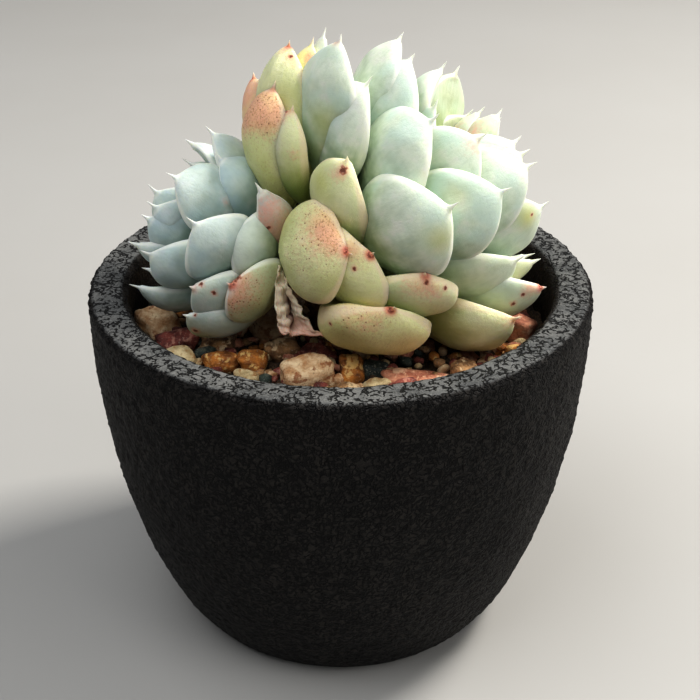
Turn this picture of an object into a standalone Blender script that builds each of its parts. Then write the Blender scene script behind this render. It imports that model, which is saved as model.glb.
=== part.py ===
"""A potted mexican snowball: a two-headed rosette succulent in a dark cast-stone pot, with soil and grit.

Frame: metres, +Z up, the origin under the middle of the pot's foot, the front of the plant towards -Y.
Lengths and places are written in millimetres here and become metres where a mesh is made.
"""
import math
import random
from collections import namedtuple

import bmesh
import bpy
import numpy as np

MM = 0.001
GAP = 0.3                    # clearance between neighbouring pieces

POT_HEIGHT = 84.5
RIM_RADIUS = 57.5
FOOT_RADIUS = 36.0
WALL = 9.0                   # thickness of the wall at the rim and all the way down
BASE_THICK = 10.0
RIM_OUTER_ROUND = 1.6
RIM_INNER_ROUND = 2.2
DRAIN_RADIUS = 4.0
POT_SIDES = 36
FILL_SIDES = 28              # sides of the soil and of the packed grit

SOIL_TOP = 68.0
GRIT_TOP = 72.4              # top of the packed grit that the stones lie in
STEM_HOLE_RADIUS = 6.0
STEM_HOLE_FLOOR = 44.0

STEM_RADIUS = 5.4
STEM_SIDES = 10
STEM_FOOT = STEM_HOLE_FLOOR + GAP

STONE_COUNT = 46             # places laid by rule, less those where a stone set by hand lies
STONE_LONG = (11.0, 13.5)
RING_COUNT = 26              # places along the wall of the pot
RING_LONG = (10.0, 12.0)     # length of the stones there
STONE_WIDE = (0.8, 0.95)     # width and height of a stone laid by rule, over its length
STONE_TALL = (0.42, 0.54)
STONE_LUMPS = (0.86, 1.08)   # how far a stone's corners lie from its middle, over a smooth one's
STONE_TILT = 12.0            # a stone's greatest tilt (degrees)
STONE_SEED = 11
STONE_REACH = 0.45           # half a stone's length, a little less for its round ends
STONE_NUDGE = 2.5            # how far a stone laid by rule may run into one set by hand
STONE_SINK = 0.42            # how much of a stone's height lies in the packed grit
FINE_STONE = 9.0             # a longer stone set by hand gets more faces
HOLE_MARGIN = 4.5            # room between the stem's hole and the middles of the first stones laid by rule
WALL_MARGIN = 9.0            # the same at the pot's wall
LEAF_MARGIN = 4.5            # a stone minds the leaves this far round it
LEAF_CLEAR = 1.0             # room between a stone and the leaves over it

LEAF_SEED = 12
GOLDEN_ANGLE = 137.5
NEAR_FIRST = 15.0            # turns of the leaves that the far side repeats
NEAR_LAST = 135.0
FAR_NARROWEST = 12.5         # narrower ones are left out there
FAR_SHORTER = 0.82           # length of the far side's leaves over the near side's
FAR_NARROWER = 0.95
FAR_TURN = 9.0               # how far a far leaf's turn may differ from its near one's (degrees)
FAR_SHIFT = 2.0              # the same for its place on the stem
FAR_LEAN = (0.9, 1.05)       # lean and drop of a far leaf over its near one's
FAR_DROP = (0.8, 1.1)
BEND_UP = 0.95               # one step of bending a far leaf up
LEAF_FLOOR = 78.0            # far leaves stay above this height, clear of the grit

LEAF_SIDES = 8
LEAF_STATIONS = (0.0, 0.3, 0.6, 0.82, 0.955)
PLAIN_SIDES = 6              # narrow leaves and those that face away
PLAIN_STATIONS = (0.0, 0.35, 0.7, 0.94)
FAR_STATIONS = (0.0, 0.45, 0.85)
PLAIN_WIDTH = 19.5           # a leaf narrower than this is a plain one
SPINE_LENGTH = 2.6
SPINE_RADIUS = 0.42
LEAF_CUP = 0.12              # how far the leaf's edges curl up, over its half width
LEAF_UPPER = 0.26            # share of a leaf's thickness that lies above its edges
WIDEST = 0.62                # where along a leaf it is widest
THICKEST = 0.5
ROOT_WIDTH = 0.36            # a leaf's width at its root over its full width
ROOT_THICK = 0.62
ROOT_OUT = 0.22              # how far out from the stem's middle line a leaf's root lies, over its width

CORE_START = -4.0            # where the plump stem tip begins, along the stem's middle line
CORE_SIDES = 10
CORE_STATIONS = 9
BRANCH_SIDES = 8

# A stone of the top dressing: place of its middle, length, width, height, and turn about Z (degrees).
Stone = namedtuple("Stone", "x y long wide tall turn")

STONES_BY_HAND = (
    Stone(-37.5, -9.5, 10, 8, 6, 20),
    Stone(-30.5, -16, 6, 5, 5, 60),
    Stone(-26, -20, 9, 6, 6, 10),
    Stone(-19.5, -20, 7, 7, 6, 80),
    Stone(-20.5, -26.5, 6, 5, 4, 0),
    Stone(-6.5, -26, 13, 9, 8, 15),
    Stone(2.5, -23, 7, 9, 7, 10),
    Stone(17.5, -26, 16, 9, 7, -5),
    Stone(7.5, -30, 6, 5, 4, 30),
    Stone(8, -22, 6, 6, 5, 0),
    Stone(34, -18.5, 9, 8, 6, 40),
    Stone(41.5, -4, 9, 8, 7, 70),
    Stone(-13.5, -14, 9, 7, 5, 10),
    Stone(-5, -15.5, 8, 7, 5, -20),
    Stone(27, -24, 7, 6, 5, 0),
)

# One leaf of a head. along: place on the stem (mm). turn: round the stem, 0 up, 90 to the front (degrees).
# lean: away from the stem's direction (degrees). bow: sag of the leaf over its length. roll: twist about
# its length (degrees). drop: how far below the stem's middle line the root sits (mm).
Leaf = namedtuple("Leaf", "along turn lean length width bow roll drop")

RIGHT_YOUNG = (
    Leaf(8, -11, 96, 35, 10, 0.10, 35, 0),
    Leaf(9, 7, 93, 35.5, 18, 0.10, 35, 0),
    Leaf(19, -4, 74, 32.5, 20, 0.12, 15, 0),
    Leaf(19, 5, 70, 30, 19, 0.12, 30, 0),
    Leaf(9, 18, 82, 29, 19, 0.10, 20, 0),
    Leaf(20, 31, 67, 30.5, 23, 0.14, 10, 5),
    Leaf(32, -16, 48, 22, 17, 0.12, 0, 0),
    Leaf(40, -44, 35, 16.5, 17, 0.12, 0, 0),
    Leaf(34, 18, 58, 17, 11, 0.12, 0, 0),
    Leaf(36, -60, 28, 12, 11, 0.12, 0, 0),
    Leaf(29, 46, 44, 24.5, 18, 0.12, 10, 4),
    Leaf(40, -7, 15, 16, 8, 0.10, 0, 6),
    Leaf(41, 47, 6, 17, 8, 0.10, 0, 6),
    Leaf(18, 61, 64, 31, 25, 0.16, 25, 7),
    Leaf(24, 62, 45, 31, 21, 0.15, 15, 8),
    Leaf(34, 62, 18, 22.5, 15, 0.12, 0, 6),
    Leaf(32, 67, 20, 24.5, 16, 0.12, 0, 6),
    Leaf(28, 57, 25, 30, 20, 0.12, 10, 9),
    Leaf(26, 88, 16, 30, 19, 0.12, 20, 9),
    Leaf(21, 83, 31, 30.5, 18, 0.12, 40, 14),
    Leaf(26, 128, 24, 27, 14, 0.12, 0, 13),
    Leaf(14, 6, 80, 21, 15, 0.12, 10, 0),
    Leaf(26, 112, 33, 30.5, 16, 0.12, 5, 17),
)
RIGHT_OLD = (
    Leaf(1, -17, 116, 27.5, 10, 0.10, 30, 0),
    Leaf(-2, 5, 102, 26.5, 15, 0.12, 35, 2),
    Leaf(2, -7, 100, 32, 18, 0.10, 35, 0),
    Leaf(5, -10, 100, 31.5, 14, 0.10, 30, 0),
    Leaf(3, 16, 106, 23.5, 12, 0.12, 35, 0),
    Leaf(19, 35, 101, 31.5, 17, 0.16, 30, 9),
    Leaf(3, 67, 83, 24, 24, 0.18, 5, 10),
    Leaf(13, 67, 91, 25, 23, 0.18, 35, 11),
    Leaf(13, 75, 80, 27, 24, 0.18, 75, 19),
    Leaf(24, 75, 82, 26, 19, 0.18, 65, 14),
    Leaf(27, 103, 49, 27.5, 19, 0.14, 15, 22),
)
LEFT_LEAVES = (
    Leaf(10, -31, 39, 20, 12, 0.12, 0, 0),
    Leaf(6, -6, 58, 22, 14, 0.12, 10, 0),
    Leaf(3, 12, 62, 19.5, 14, 0.12, 20, 0),
    Leaf(14, -43, 26, 13.5, 12, 0.12, 0, 0),
    Leaf(10, 39, 49, 21, 16, 0.14, 0, 1),
    Leaf(17, 86, 29, 13.5, 12, 0.12, 0, 0),
    Leaf(16, 85, 44, 15, 12, 0.12, 0, 0),
    Leaf(14, 85, 38, 17, 13, 0.12, 10, 2),
    Leaf(10, 54, 72, 23, 18, 0.18, 25, 6),
    Leaf(2, 57, 79, 18.5, 16, 0.14, 10, 3),
    Leaf(13, 120, 39, 17.5, 13, 0.12, 10, 1),
    Leaf(10, 86, 48, 21, 16, 0.14, 20, 4),
    Leaf(5, 78, 69, 21.5, 15, 0.16, 30, 8),
    Leaf(9, 113, 34, 21.5, 14, 0.12, 30, 8),
    Leaf(3, 90, 58, 21.5, 14, 0.16, 40, 11),
    Leaf(0, 71, 83, 22, 17, 0.18, 25, 8),
    Leaf(-2, 31, 82, 22, 9, 0.14, 40, 3),
)


class StemArc:
    """Middle line of a leafy stem: an arc in one upright plane, level where it is old and steep at the tip.

    The slope grows from slope_start to slope_end (degrees) with the square of the distance along it.
    """

    def __init__(self, start, heading, slope_start, slope_end, length, hand):
        self.start = np.array(start, float)
        self.heading = math.radians(heading)
        self.slope_start = slope_start
        self.slope_end = slope_end
        self.length = length
        self.hand = hand         # 1 if the stem runs to the right of the front, -1 if to the left
        self.stations = np.linspace(-12.0, length + 12.0, 400)
        slope = np.radians(self.slope(self.stations))
        step = self.stations[1] - self.stations[0]
        run = np.cumsum(np.cos(slope)) * step
        rise = np.cumsum(np.sin(slope)) * step
        self.run = run - np.interp(0.0, self.stations, run)
        self.rise = rise - np.interp(0.0, self.stations, rise)

    def slope(self, along):
        part = np.clip(np.asarray(along, float) / self.length, 0.0, 1.2)
        return self.slope_start + (self.slope_end - self.slope_start) * part ** 2

    def point(self, along):
        run = np.interp(along, self.stations, self.run)
        rise = np.interp(along, self.stations, self.rise)
        return self.start + np.array([run * math.cos(self.heading), run * math.sin(self.heading), rise])

    def axes(self, along):
        """The stem's own direction, its upper side, and the side that faces the front."""
        slope = math.radians(float(self.slope(along)))
        flat = np.array([math.cos(self.heading), math.sin(self.heading), 0.0])
        up = np.array([0.0, 0.0, 1.0])
        ahead = math.cos(slope) * flat + math.sin(slope) * up
        above = -math.sin(slope) * flat + math.cos(slope) * up
        return ahead, above, self.hand * np.cross(ahead, above)


RIGHT_STEM = StemArc((-10, 1, 102), 6, -6, 62, 42, 1)
LEFT_STEM = StemArc((-15, 0, 93), 168, 5, 60, 20, -1)


def leaf_frame(stem, leaf):
    """Root point of a leaf, and its directions across, along and towards the stem."""
    ahead, above, front = stem.axes(leaf.along)
    turn, lean, roll = np.radians([leaf.turn, leaf.lean, leaf.roll])
    out = above * math.cos(turn) + front * math.sin(turn)
    root = stem.point(leaf.along) + out * ROOT_OUT * leaf.width - np.array([0.0, 0.0, leaf.drop])
    chord = ahead * math.cos(lean) + out * math.sin(lean)
    inward = ahead * math.sin(lean) - out * math.cos(lean)
    across = np.cross(chord, inward)
    inward = inward * math.cos(roll) + stem.hand * across * math.sin(roll)
    return root, np.cross(chord, inward), chord, inward


def leaf_width(part):
    """Half width over full half width: a narrow root, a smooth swell to WIDEST, then a rounded end."""
    swell = ROOT_WIDTH + (1 - ROOT_WIDTH) * np.sin(0.5 * np.pi * np.clip(part / WIDEST, 0, 1)) ** 1.35
    end = np.clip((part - WIDEST) / (1 - WIDEST), 0, 1)
    return swell * (1 - end ** 2.1) ** 0.62


def leaf_thickness(part):
    """Thickness over full thickness: most of it at the root, full at THICKEST, then a rounded end."""
    swell = ROOT_THICK + (1 - ROOT_THICK) * np.sin(0.5 * np.pi * np.clip(part / THICKEST, 0, 1))
    end = np.clip((part - THICKEST) / (1 - THICKEST), 0, 1)
    return swell * (1 - end ** 2.4) ** 0.6


def leaf_shape(stem, leaf, thick, grow=0.0, far=False):
    """Points and faces of one leaf, grown all round by some millimetres if asked.

    Rings of points stand square to the bowed middle line. Each ring is flat above and deep below, its edges
    curl up, and the last ring narrows to the spine at the leaf's end.
    """
    length = leaf.length + grow
    width = leaf.width + 2 * grow
    thick = thick + 2 * grow
    stations, sides = LEAF_STATIONS, LEAF_SIDES
    if far or leaf.width < PLAIN_WIDTH:
        stations = FAR_STATIONS if far else PLAIN_STATIONS
        sides = PLAIN_SIDES
    angle = np.arange(sides) * 2 * np.pi / sides
    part, round_angle = np.meshgrid(stations, angle, indexing="ij")
    side, rise = np.cos(round_angle), np.sin(round_angle)
    x = 0.5 * width * leaf_width(part) * np.sign(side) * np.abs(side) ** 0.9
    curl = LEAF_CUP * 0.5 * width * (x / (0.5 * width)) ** 2 * np.sin(np.pi * part ** 0.8)
    height = np.where(rise > 0, LEAF_UPPER, 1 - LEAF_UPPER) * thick * leaf_thickness(part) * rise + curl
    slope = np.arctan(-4 * leaf.bow * (1 - 2 * part))
    y = length * part - height * np.sin(slope)
    z = -4 * leaf.bow * length * part * (1 - part) + height * np.cos(slope)
    rings = np.stack([x, y, z], -1)

    end_slope = math.atan(4 * leaf.bow)
    ahead = np.array([0.0, math.cos(end_slope), math.sin(end_slope)])
    above = np.array([0.0, -math.sin(end_slope), math.cos(end_slope)])
    end = np.array([0.0, length, 0.0])
    radius = SPINE_RADIUS + grow
    sideways = np.array([1.0, 0.0, 0.0])
    spine = end + radius * (np.cos(angle)[:, None] * sideways + np.sin(angle)[:, None] * above)
    if not far:
        rings = np.concatenate([rings, spine[None]])
    tip = end + ahead * (SPINE_LENGTH + grow)

    points = np.concatenate([rings.reshape(-1, 3), rings[0].mean(0)[None], tip[None]])
    root, across, chord, inward = leaf_frame(stem, leaf)
    placed = root + points[:, :1] * across + points[:, 1:2] * chord + points[:, 2:] * inward
    return placed, capped_rings(len(rings), sides)


def capped_rings(count, sides):
    """Quads between neighbouring rings, and a fan at each end to the last two points."""
    faces = []
    for ring in range(count - 1):
        for j in range(sides):
            k = (j + 1) % sides
            here, there = ring * sides, (ring + 1) * sides
            faces.append((here + j, there + j, there + k, here + k))
    first, last = count * sides, count * sides + 1
    for j in range(sides):
        k = (j + 1) % sides
        faces.append((first, j, k))
        faces.append(((count - 1) * sides + j, last, (count - 1) * sides + k))
    return faces


def young_thickness(leaf):
    return 1.0 + 0.28 * leaf.width


def old_thickness(leaf):
    """Old leaves hold more water, so they are plumper for their width."""
    return 2.0 + 0.32 * leaf.width


def far_side(stem, rows):
    """Leaves of the side that faces away: the near side's across the stem, shorter and less regular.

    A leaf that would reach down into the grit bends up until it clears it.
    """
    draw = random.Random(LEAF_SEED)
    leaves = []
    for row in rows:
        if not NEAR_FIRST < row.turn < NEAR_LAST or row.width < FAR_NARROWEST:
            continue
        leaf = row._replace(turn=-row.turn + draw.uniform(-FAR_TURN, FAR_TURN),
                            along=row.along + draw.uniform(-FAR_SHIFT, FAR_SHIFT),
                            lean=row.lean * draw.uniform(*FAR_LEAN), length=row.length * FAR_SHORTER,
                            width=row.width * FAR_NARROWER, roll=-row.roll,
                            drop=row.drop * draw.uniform(*FAR_DROP))
        while leaf_shape(stem, leaf, young_thickness(leaf))[0][:, 2].min() < LEAF_FLOOR:
            leaf = leaf._replace(lean=leaf.lean * BEND_UP, drop=leaf.drop * BEND_UP)
        leaves.append(leaf)
    return leaves


def bud(along, count, length, width, drop):
    """The small leaves round a growing tip, closing in on it by the golden angle."""
    return [Leaf(along, i * GOLDEN_ANGLE, 24 - 4 * i, length - 0.8 * i, width - 0.8 * i, 0.10, 0, drop)
            for i in range(count)]


RIGHT_UNDER = [Leaf(29, 158, 34, 22, 16, 0.12, 0, 10), Leaf(32, 186, 28, 20, 15, 0.12, 0, 8),
               Leaf(29, 212, 34, 22, 16, 0.12, 0, 10), Leaf(37, 172, 18, 14, 12, 0.12, 0, 7)]
LEFT_UNDER = [Leaf(11, 158, 36, 17, 14, 0.12, 0, 3), Leaf(11, 202, 36, 17, 14, 0.12, 0, 3)]
RIGHT_BACK = [Leaf(3, -30, 98, 23, 19, 0.12, -20, 0), Leaf(11, -36, 88, 25, 21, 0.12, -15, 0),
              Leaf(21, -36, 72, 25, 21, 0.12, -10, 0)]
RIGHT_FAR = far_side(RIGHT_STEM, RIGHT_YOUNG + RIGHT_OLD) + RIGHT_BACK + RIGHT_UNDER + bud(40, 5, 12, 9, 6)
LEFT_FAR = far_side(LEFT_STEM, LEFT_LEAVES) + LEFT_UNDER + bud(18, 3, 9, 8, 1)


def material(name, colour, roughness, metallic=0.0):
    """A plain coloured finish."""
    finish = bpy.data.materials.new(name)
    finish.use_nodes = True
    shader = finish.node_tree.nodes["Principled BSDF"]
    shader.inputs["Base Color"].default_value = (*colour, 1.0)
    shader.inputs["Roughness"].default_value = roughness
    shader.inputs["Metallic"].default_value = metallic
    finish.diffuse_color = (*colour, 1.0)
    return finish


def mesh_object(name, points, faces, finish=None):
    """An object in metres from points in millimetres, with its faces turned outwards."""
    mesh = bpy.data.meshes.new(name)
    mesh.from_pydata([tuple(p * MM) for p in np.asarray(points, float)], [], faces)
    body = bmesh.new()
    body.from_mesh(mesh)
    bmesh.ops.triangulate(body, faces=body.faces)
    bmesh.ops.recalc_face_normals(body, faces=body.faces)
    body.to_mesh(mesh)
    body.free()
    made = bpy.data.objects.new(name, mesh)
    bpy.context.scene.collection.objects.link(made)
    if finish is not None:
        mesh.materials.append(finish)
    return made


def turned(name, outline, sides, finish):
    """A body turned about the Z axis from a closed outline of (radius, height) points."""
    body = bmesh.new()
    corners = [body.verts.new((radius * MM, 0.0, height * MM)) for radius, height in outline]
    edges = [body.edges.new((a, b)) for a, b in zip(corners, corners[1:])]
    if outline[0][0] > 0:
        edges.append(body.edges.new((corners[-1], corners[0])))
    bmesh.ops.spin(body, geom=corners + edges, cent=(0, 0, 0), axis=(0, 0, 1), angle=2 * math.pi,
                   steps=sides, use_merge=True)
    bmesh.ops.remove_doubles(body, verts=body.verts, dist=1e-6)
    bmesh.ops.triangulate(body, faces=body.faces)
    bmesh.ops.recalc_face_normals(body, faces=body.faces)
    mesh = bpy.data.meshes.new(name)
    body.to_mesh(mesh)
    body.free()
    mesh.materials.append(finish)
    made = bpy.data.objects.new(name, mesh)
    bpy.context.scene.collection.objects.link(made)
    return made


def shade_round(made, angle=35):
    made.data.shade_smooth()
    made.data.set_sharp_from_angle(angle=math.radians(angle))


def apply_modifiers(made):
    """Replaces the object's mesh with the one that its modifiers give."""
    bpy.context.view_layer.update()
    result = bpy.data.meshes.new_from_object(made.evaluated_get(bpy.context.evaluated_depsgraph_get()))
    made.modifiers.clear()
    made.data = result


def largest_body(made):
    """Keeps the largest closed body of a mesh: loose scraps go, and sealed hollows are filled."""
    body = bmesh.new()
    body.from_mesh(made.data)
    bmesh.ops.remove_doubles(body, verts=body.verts, dist=2e-6)
    bmesh.ops.dissolve_degenerate(body, edges=body.edges, dist=2e-6)
    bmesh.ops.triangulate(body, faces=body.faces)
    unseen = set(body.verts)
    shells = []
    while unseen:
        shell = [unseen.pop()]
        for vert in shell:
            for edge in vert.link_edges:
                other = edge.other_vert(vert)
                if other in unseen:
                    unseen.remove(other)
                    shell.append(other)
        shells.append(shell)
    shells.sort(key=len)
    bmesh.ops.delete(body, geom=[vert for shell in shells[:-1] for vert in shell], context="VERTS")
    body.to_mesh(made.data)
    body.free()


def boolean(made, parts, operation):
    """One Boolean with a collection of parts, applied, and the parts removed."""
    group = bpy.data.collections.new(made.name + "_parts")
    for part in parts:
        group.objects.link(part)
    step = made.modifiers.new(operation, "BOOLEAN")
    step.operation = operation
    step.operand_type = "COLLECTION"
    step.collection = group
    apply_modifiers(made)
    for part in parts:
        bpy.data.objects.remove(part)
    bpy.data.collections.remove(group)
    largest_body(made)


def outer_radius(height):
    """The pot's outside: close to upright at the rim, then rounding in ever faster to the foot."""
    down = 1 - height / POT_HEIGHT
    return FOOT_RADIUS + (RIM_RADIUS - FOOT_RADIUS) * (1 - down ** 2.1) ** 0.74


def inner_radius(height):
    return outer_radius(height) - WALL


def corner(radius, height, size, first, last, points=4):
    """A rounded corner about (radius, height), from one angle to another in degrees."""
    angles = np.radians(np.linspace(first, last, points))
    return [(radius + size * math.cos(a), height + size * math.sin(a)) for a in angles]


def make_pot():
    """Turned bowl: foot, outside, rounded rim, inside, flat floor, and a plain drain hole."""
    outside = [(outer_radius(z), z) for z in (0.0, 1.5, 5, 12, 22, 35, 50, 67)]
    rim = corner(RIM_RADIUS - RIM_OUTER_ROUND, POT_HEIGHT - RIM_OUTER_ROUND, RIM_OUTER_ROUND, 0, 90)
    mouth = RIM_RADIUS - WALL
    lip = corner(mouth + RIM_INNER_ROUND, POT_HEIGHT - RIM_INNER_ROUND, RIM_INNER_ROUND, 90, 180)
    inside = [(inner_radius(z), z) for z in (67, 45, 28, 14)]
    floor = [(inner_radius(14) - 4, BASE_THICK), (DRAIN_RADIUS, BASE_THICK)]
    pot = turned("pot", [(DRAIN_RADIUS, 0.0)] + outside + rim + lip + inside + floor, POT_SIDES,
                 material("cast_stone", (0.045, 0.046, 0.05), 0.95))
    shade_round(pot)


def make_soil():
    """Fills the pot below the grit, with a plain hole for the stem."""
    wall = [(inner_radius(z) - GAP, z) for z in (SOIL_TOP, 45, 28, 14)]
    outline = [(0.0, STEM_HOLE_FLOOR), (STEM_HOLE_RADIUS, STEM_HOLE_FLOOR), (STEM_HOLE_RADIUS, SOIL_TOP)]
    outline += wall + [(inner_radius(14) - 4 - GAP, BASE_THICK + GAP), (0.0, BASE_THICK + GAP)]
    shade_round(turned("soil", outline, FILL_SIDES, material("potting_soil", (0.035, 0.024, 0.016), 1.0)))


def tube(path, radii, sides):
    """Points and faces of a round rod along a path, closed at both ends."""
    path = np.asarray(path, float)
    ahead = np.gradient(path, axis=0)
    ahead /= np.linalg.norm(ahead, axis=1, keepdims=True)
    across = np.cross(ahead, np.array([0.0, 1.0, 0.0]))
    across /= np.linalg.norm(across, axis=1, keepdims=True)
    other = np.cross(ahead, across)
    angle = np.arange(sides) * 2 * np.pi / sides
    circle = np.cos(angle)[:, None] * across[:, None] + np.sin(angle)[:, None] * other[:, None]
    rings = path[:, None] + np.asarray(radii, float)[:, None, None] * circle
    points = np.concatenate([rings.reshape(-1, 3), path[:1], path[-1:]])
    return points, capped_rings(len(path), sides)


def core_shape(stem, depth, half_width, grow=0.0):
    """The plump stem tip that a head's leaves grow from, deeper below than above its middle line."""
    stations = np.linspace(CORE_START, stem.length, CORE_STATIONS)
    part = (stations - CORE_START) / (stem.length - CORE_START)
    belly = np.sin(np.pi * part ** 0.8) ** 0.7
    angle = np.arange(CORE_SIDES) * 2 * np.pi / CORE_SIDES
    rings = []
    for along, swell in zip(stations, belly):
        ahead, above, front = stem.axes(along)
        below = 2.0 + depth * swell + grow
        top = 1.6 + 1.4 * swell + grow
        wide = 2.0 + half_width * swell + grow
        height = np.where(np.sin(angle) > 0, top, below) * np.sin(angle)
        rings.append(stem.point(along) + np.cos(angle)[:, None] * wide * front
                     + height[:, None] * np.array([0.0, 0.0, 1.0]))
    ends = [stem.point(CORE_START - grow - 0.5), stem.point(stem.length + grow + 0.5)]
    return np.concatenate(rings + [np.array(ends)]), capped_rings(CORE_STATIONS, CORE_SIDES)


RIGHT_CORE = (19.0, 5.0)     # depth below the middle line and half width, where the core is fullest
LEFT_CORE = (9.0, 3.5)


def leaves_of(stem, rows, thickness, grow=0.0):
    return [leaf_shape(stem, row, thickness(row), grow) for row in rows]


def far_leaves(stem, rows, grow=0.0):
    return [leaf_shape(stem, row, young_thickness(row), grow, far=True) for row in rows]


def right_leaves(grow=0.0):
    return (leaves_of(RIGHT_STEM, RIGHT_YOUNG, young_thickness, grow)
            + leaves_of(RIGHT_STEM, RIGHT_OLD, old_thickness, grow)
            + far_leaves(RIGHT_STEM, RIGHT_FAR, grow))


def left_leaves(grow=0.0):
    return (leaves_of(LEFT_STEM, LEFT_LEAVES, young_thickness, grow)
            + far_leaves(LEFT_STEM, LEFT_FAR, grow))


def make_head(name, stem, core, shapes, finish):
    """One rosette: leaves fused round the stem tip that they grow from."""
    head = mesh_object(name, *core_shape(stem, *core), finish)
    leaves = [mesh_object("leaf", points, faces) for points, faces in shapes]
    boolean(head, leaves, "UNION")
    shade_round(head, 50)
    return head


def stone_shape(stone, top, detail, draw):
    """A worn, slightly angular stone: a ball pulled out of round, then sized, tilted and turned."""
    body = bmesh.new()
    bmesh.ops.create_icosphere(body, subdivisions=detail, radius=1.0)
    tilt = math.radians(draw.uniform(-STONE_TILT, STONE_TILT))
    turn = math.radians(stone.turn)
    for vert in body.verts:
        vert.co *= draw.uniform(*STONE_LUMPS)
    half = 0.5 * np.array([stone.long, stone.wide, stone.tall])
    points = np.array([vert.co for vert in body.verts]) * half
    faces = [tuple(vert.index for vert in face.verts) for face in body.faces]
    body.free()
    x, y, z = points.T
    x, z = x * math.cos(tilt) - z * math.sin(tilt), x * math.sin(tilt) + z * math.cos(tilt)
    x, y = x * math.cos(turn) - y * math.sin(turn), x * math.sin(turn) + y * math.cos(turn)
    floor = SOIL_TOP + 2 * GAP
    flatter = min(1.0, (top - floor) / (z.max() - z.min()))
    return np.stack([x + stone.x, y + stone.y, (z - z.max()) * flatter + top], -1), faces


def stones_by_rule(draw):
    """Stones spread evenly over the grit by the golden angle, where none is set by hand."""
    wall = inner_radius(SOIL_TOP) - GAP
    first, last = STEM_HOLE_RADIUS + HOLE_MARGIN, wall - WALL_MARGIN
    stones = []
    for i in range(STONE_COUNT + RING_COUNT):
        if i < STONE_COUNT:
            away = math.sqrt(first ** 2 + (last ** 2 - first ** 2) * (i + 0.5) / STONE_COUNT)
            angle = math.radians(i * GOLDEN_ANGLE)
            long = draw.uniform(*STONE_LONG)
        else:
            angle = math.tau * (i + draw.uniform(-0.2, 0.2)) / RING_COUNT
            long = draw.uniform(*RING_LONG)
            away = wall - 0.5 * long
        wide = long * draw.uniform(*STONE_WIDE)
        tall = long * draw.uniform(*STONE_TALL)
        stone = Stone(away * math.cos(angle), away * math.sin(angle), long, wide, tall, draw.uniform(0, 180))
        room = min(math.hypot(stone.x - other.x, stone.y - other.y) - STONE_REACH * (other.long + long)
                   for other in STONES_BY_HAND)
        if room > -STONE_NUDGE:
            stones.append(stone)
    return stones


def ceiling_over(stone, leaf_points):
    """Height of the lowest leaf above a stone."""
    reach = 0.5 * stone.long + LEAF_MARGIN
    close = np.hypot(leaf_points[:, 0] - stone.x, leaf_points[:, 1] - stone.y) < reach
    return leaf_points[close, 2].min() if close.any() else POT_HEIGHT


def make_gravel(leaf_points):
    """Stones half sunk in the packed grit that lies on the soil, low enough to clear the leaves."""
    wall = inner_radius(SOIL_TOP) - GAP
    outline = [(STEM_HOLE_RADIUS, SOIL_TOP + GAP), (wall, SOIL_TOP + GAP), (wall, GRIT_TOP),
               (STEM_HOLE_RADIUS, GRIT_TOP)]
    gravel = turned("gravel", outline, FILL_SIDES, material("gravel", (0.33, 0.22, 0.14), 0.85))
    draw = random.Random(STONE_SEED)
    parts = []
    for stone in STONES_BY_HAND + tuple(stones_by_rule(draw)):
        top = GRIT_TOP + (1 - STONE_SINK) * stone.tall
        top = min(top, ceiling_over(stone, leaf_points) - LEAF_CLEAR)
        detail = 2 if stone in STONES_BY_HAND and stone.long > FINE_STONE else 1
        parts.append(mesh_object("stone", *stone_shape(stone, top, detail, draw)))
    boolean(gravel, parts, "UNION")
    return gravel


def make_stem(heads_grown):
    """Woody stem standing in the soil's hole, with a side branch; its ends follow the heads, a gap away."""
    trunk = tube([(0, 0, STEM_FOOT), (0, 0, 62), (0, 0, 73), (-1.5, 0, 79), (-4, 0, 87)],
                 (STEM_RADIUS, STEM_RADIUS, STEM_RADIUS, 5.0, 4.6), STEM_SIDES)
    branch = tube([(0, 0, 73), (-5, 0, 78), (-10, 0, 82), (-16, 0, 88)],
                  (3.6, 3.2, 3.0, 2.8), BRANCH_SIDES)
    stem = mesh_object("stem", *trunk, material("woody_stem", (0.2, 0.13, 0.08), 0.9))
    boolean(stem, [mesh_object("branch", *branch)], "UNION")
    boolean(stem, [mesh_object("cut", points, faces) for points, faces in heads_grown], "DIFFERENCE")
    shade_round(stem)


DRY_PATH = ((-13, -14, 95), (-12.7, -18, 89.5), (-10.5, -20.5, 84.6), (-5.5, -21.5, 81.8), (1, -22, 80.9))
DRY_HALF_WIDTH = (1.6, 2.4, 3.2, 2.0, 0.5)
DRY_ACROSS = (-1.0, -0.45, 0.0, 0.45, 1.0)   # places across the sheet, over its half width
DRY_ALONG = 9                # places along it
DRY_FOLD = 0.55              # how far its edges fold forward, over its half width
DRY_THICK = 0.7


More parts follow.
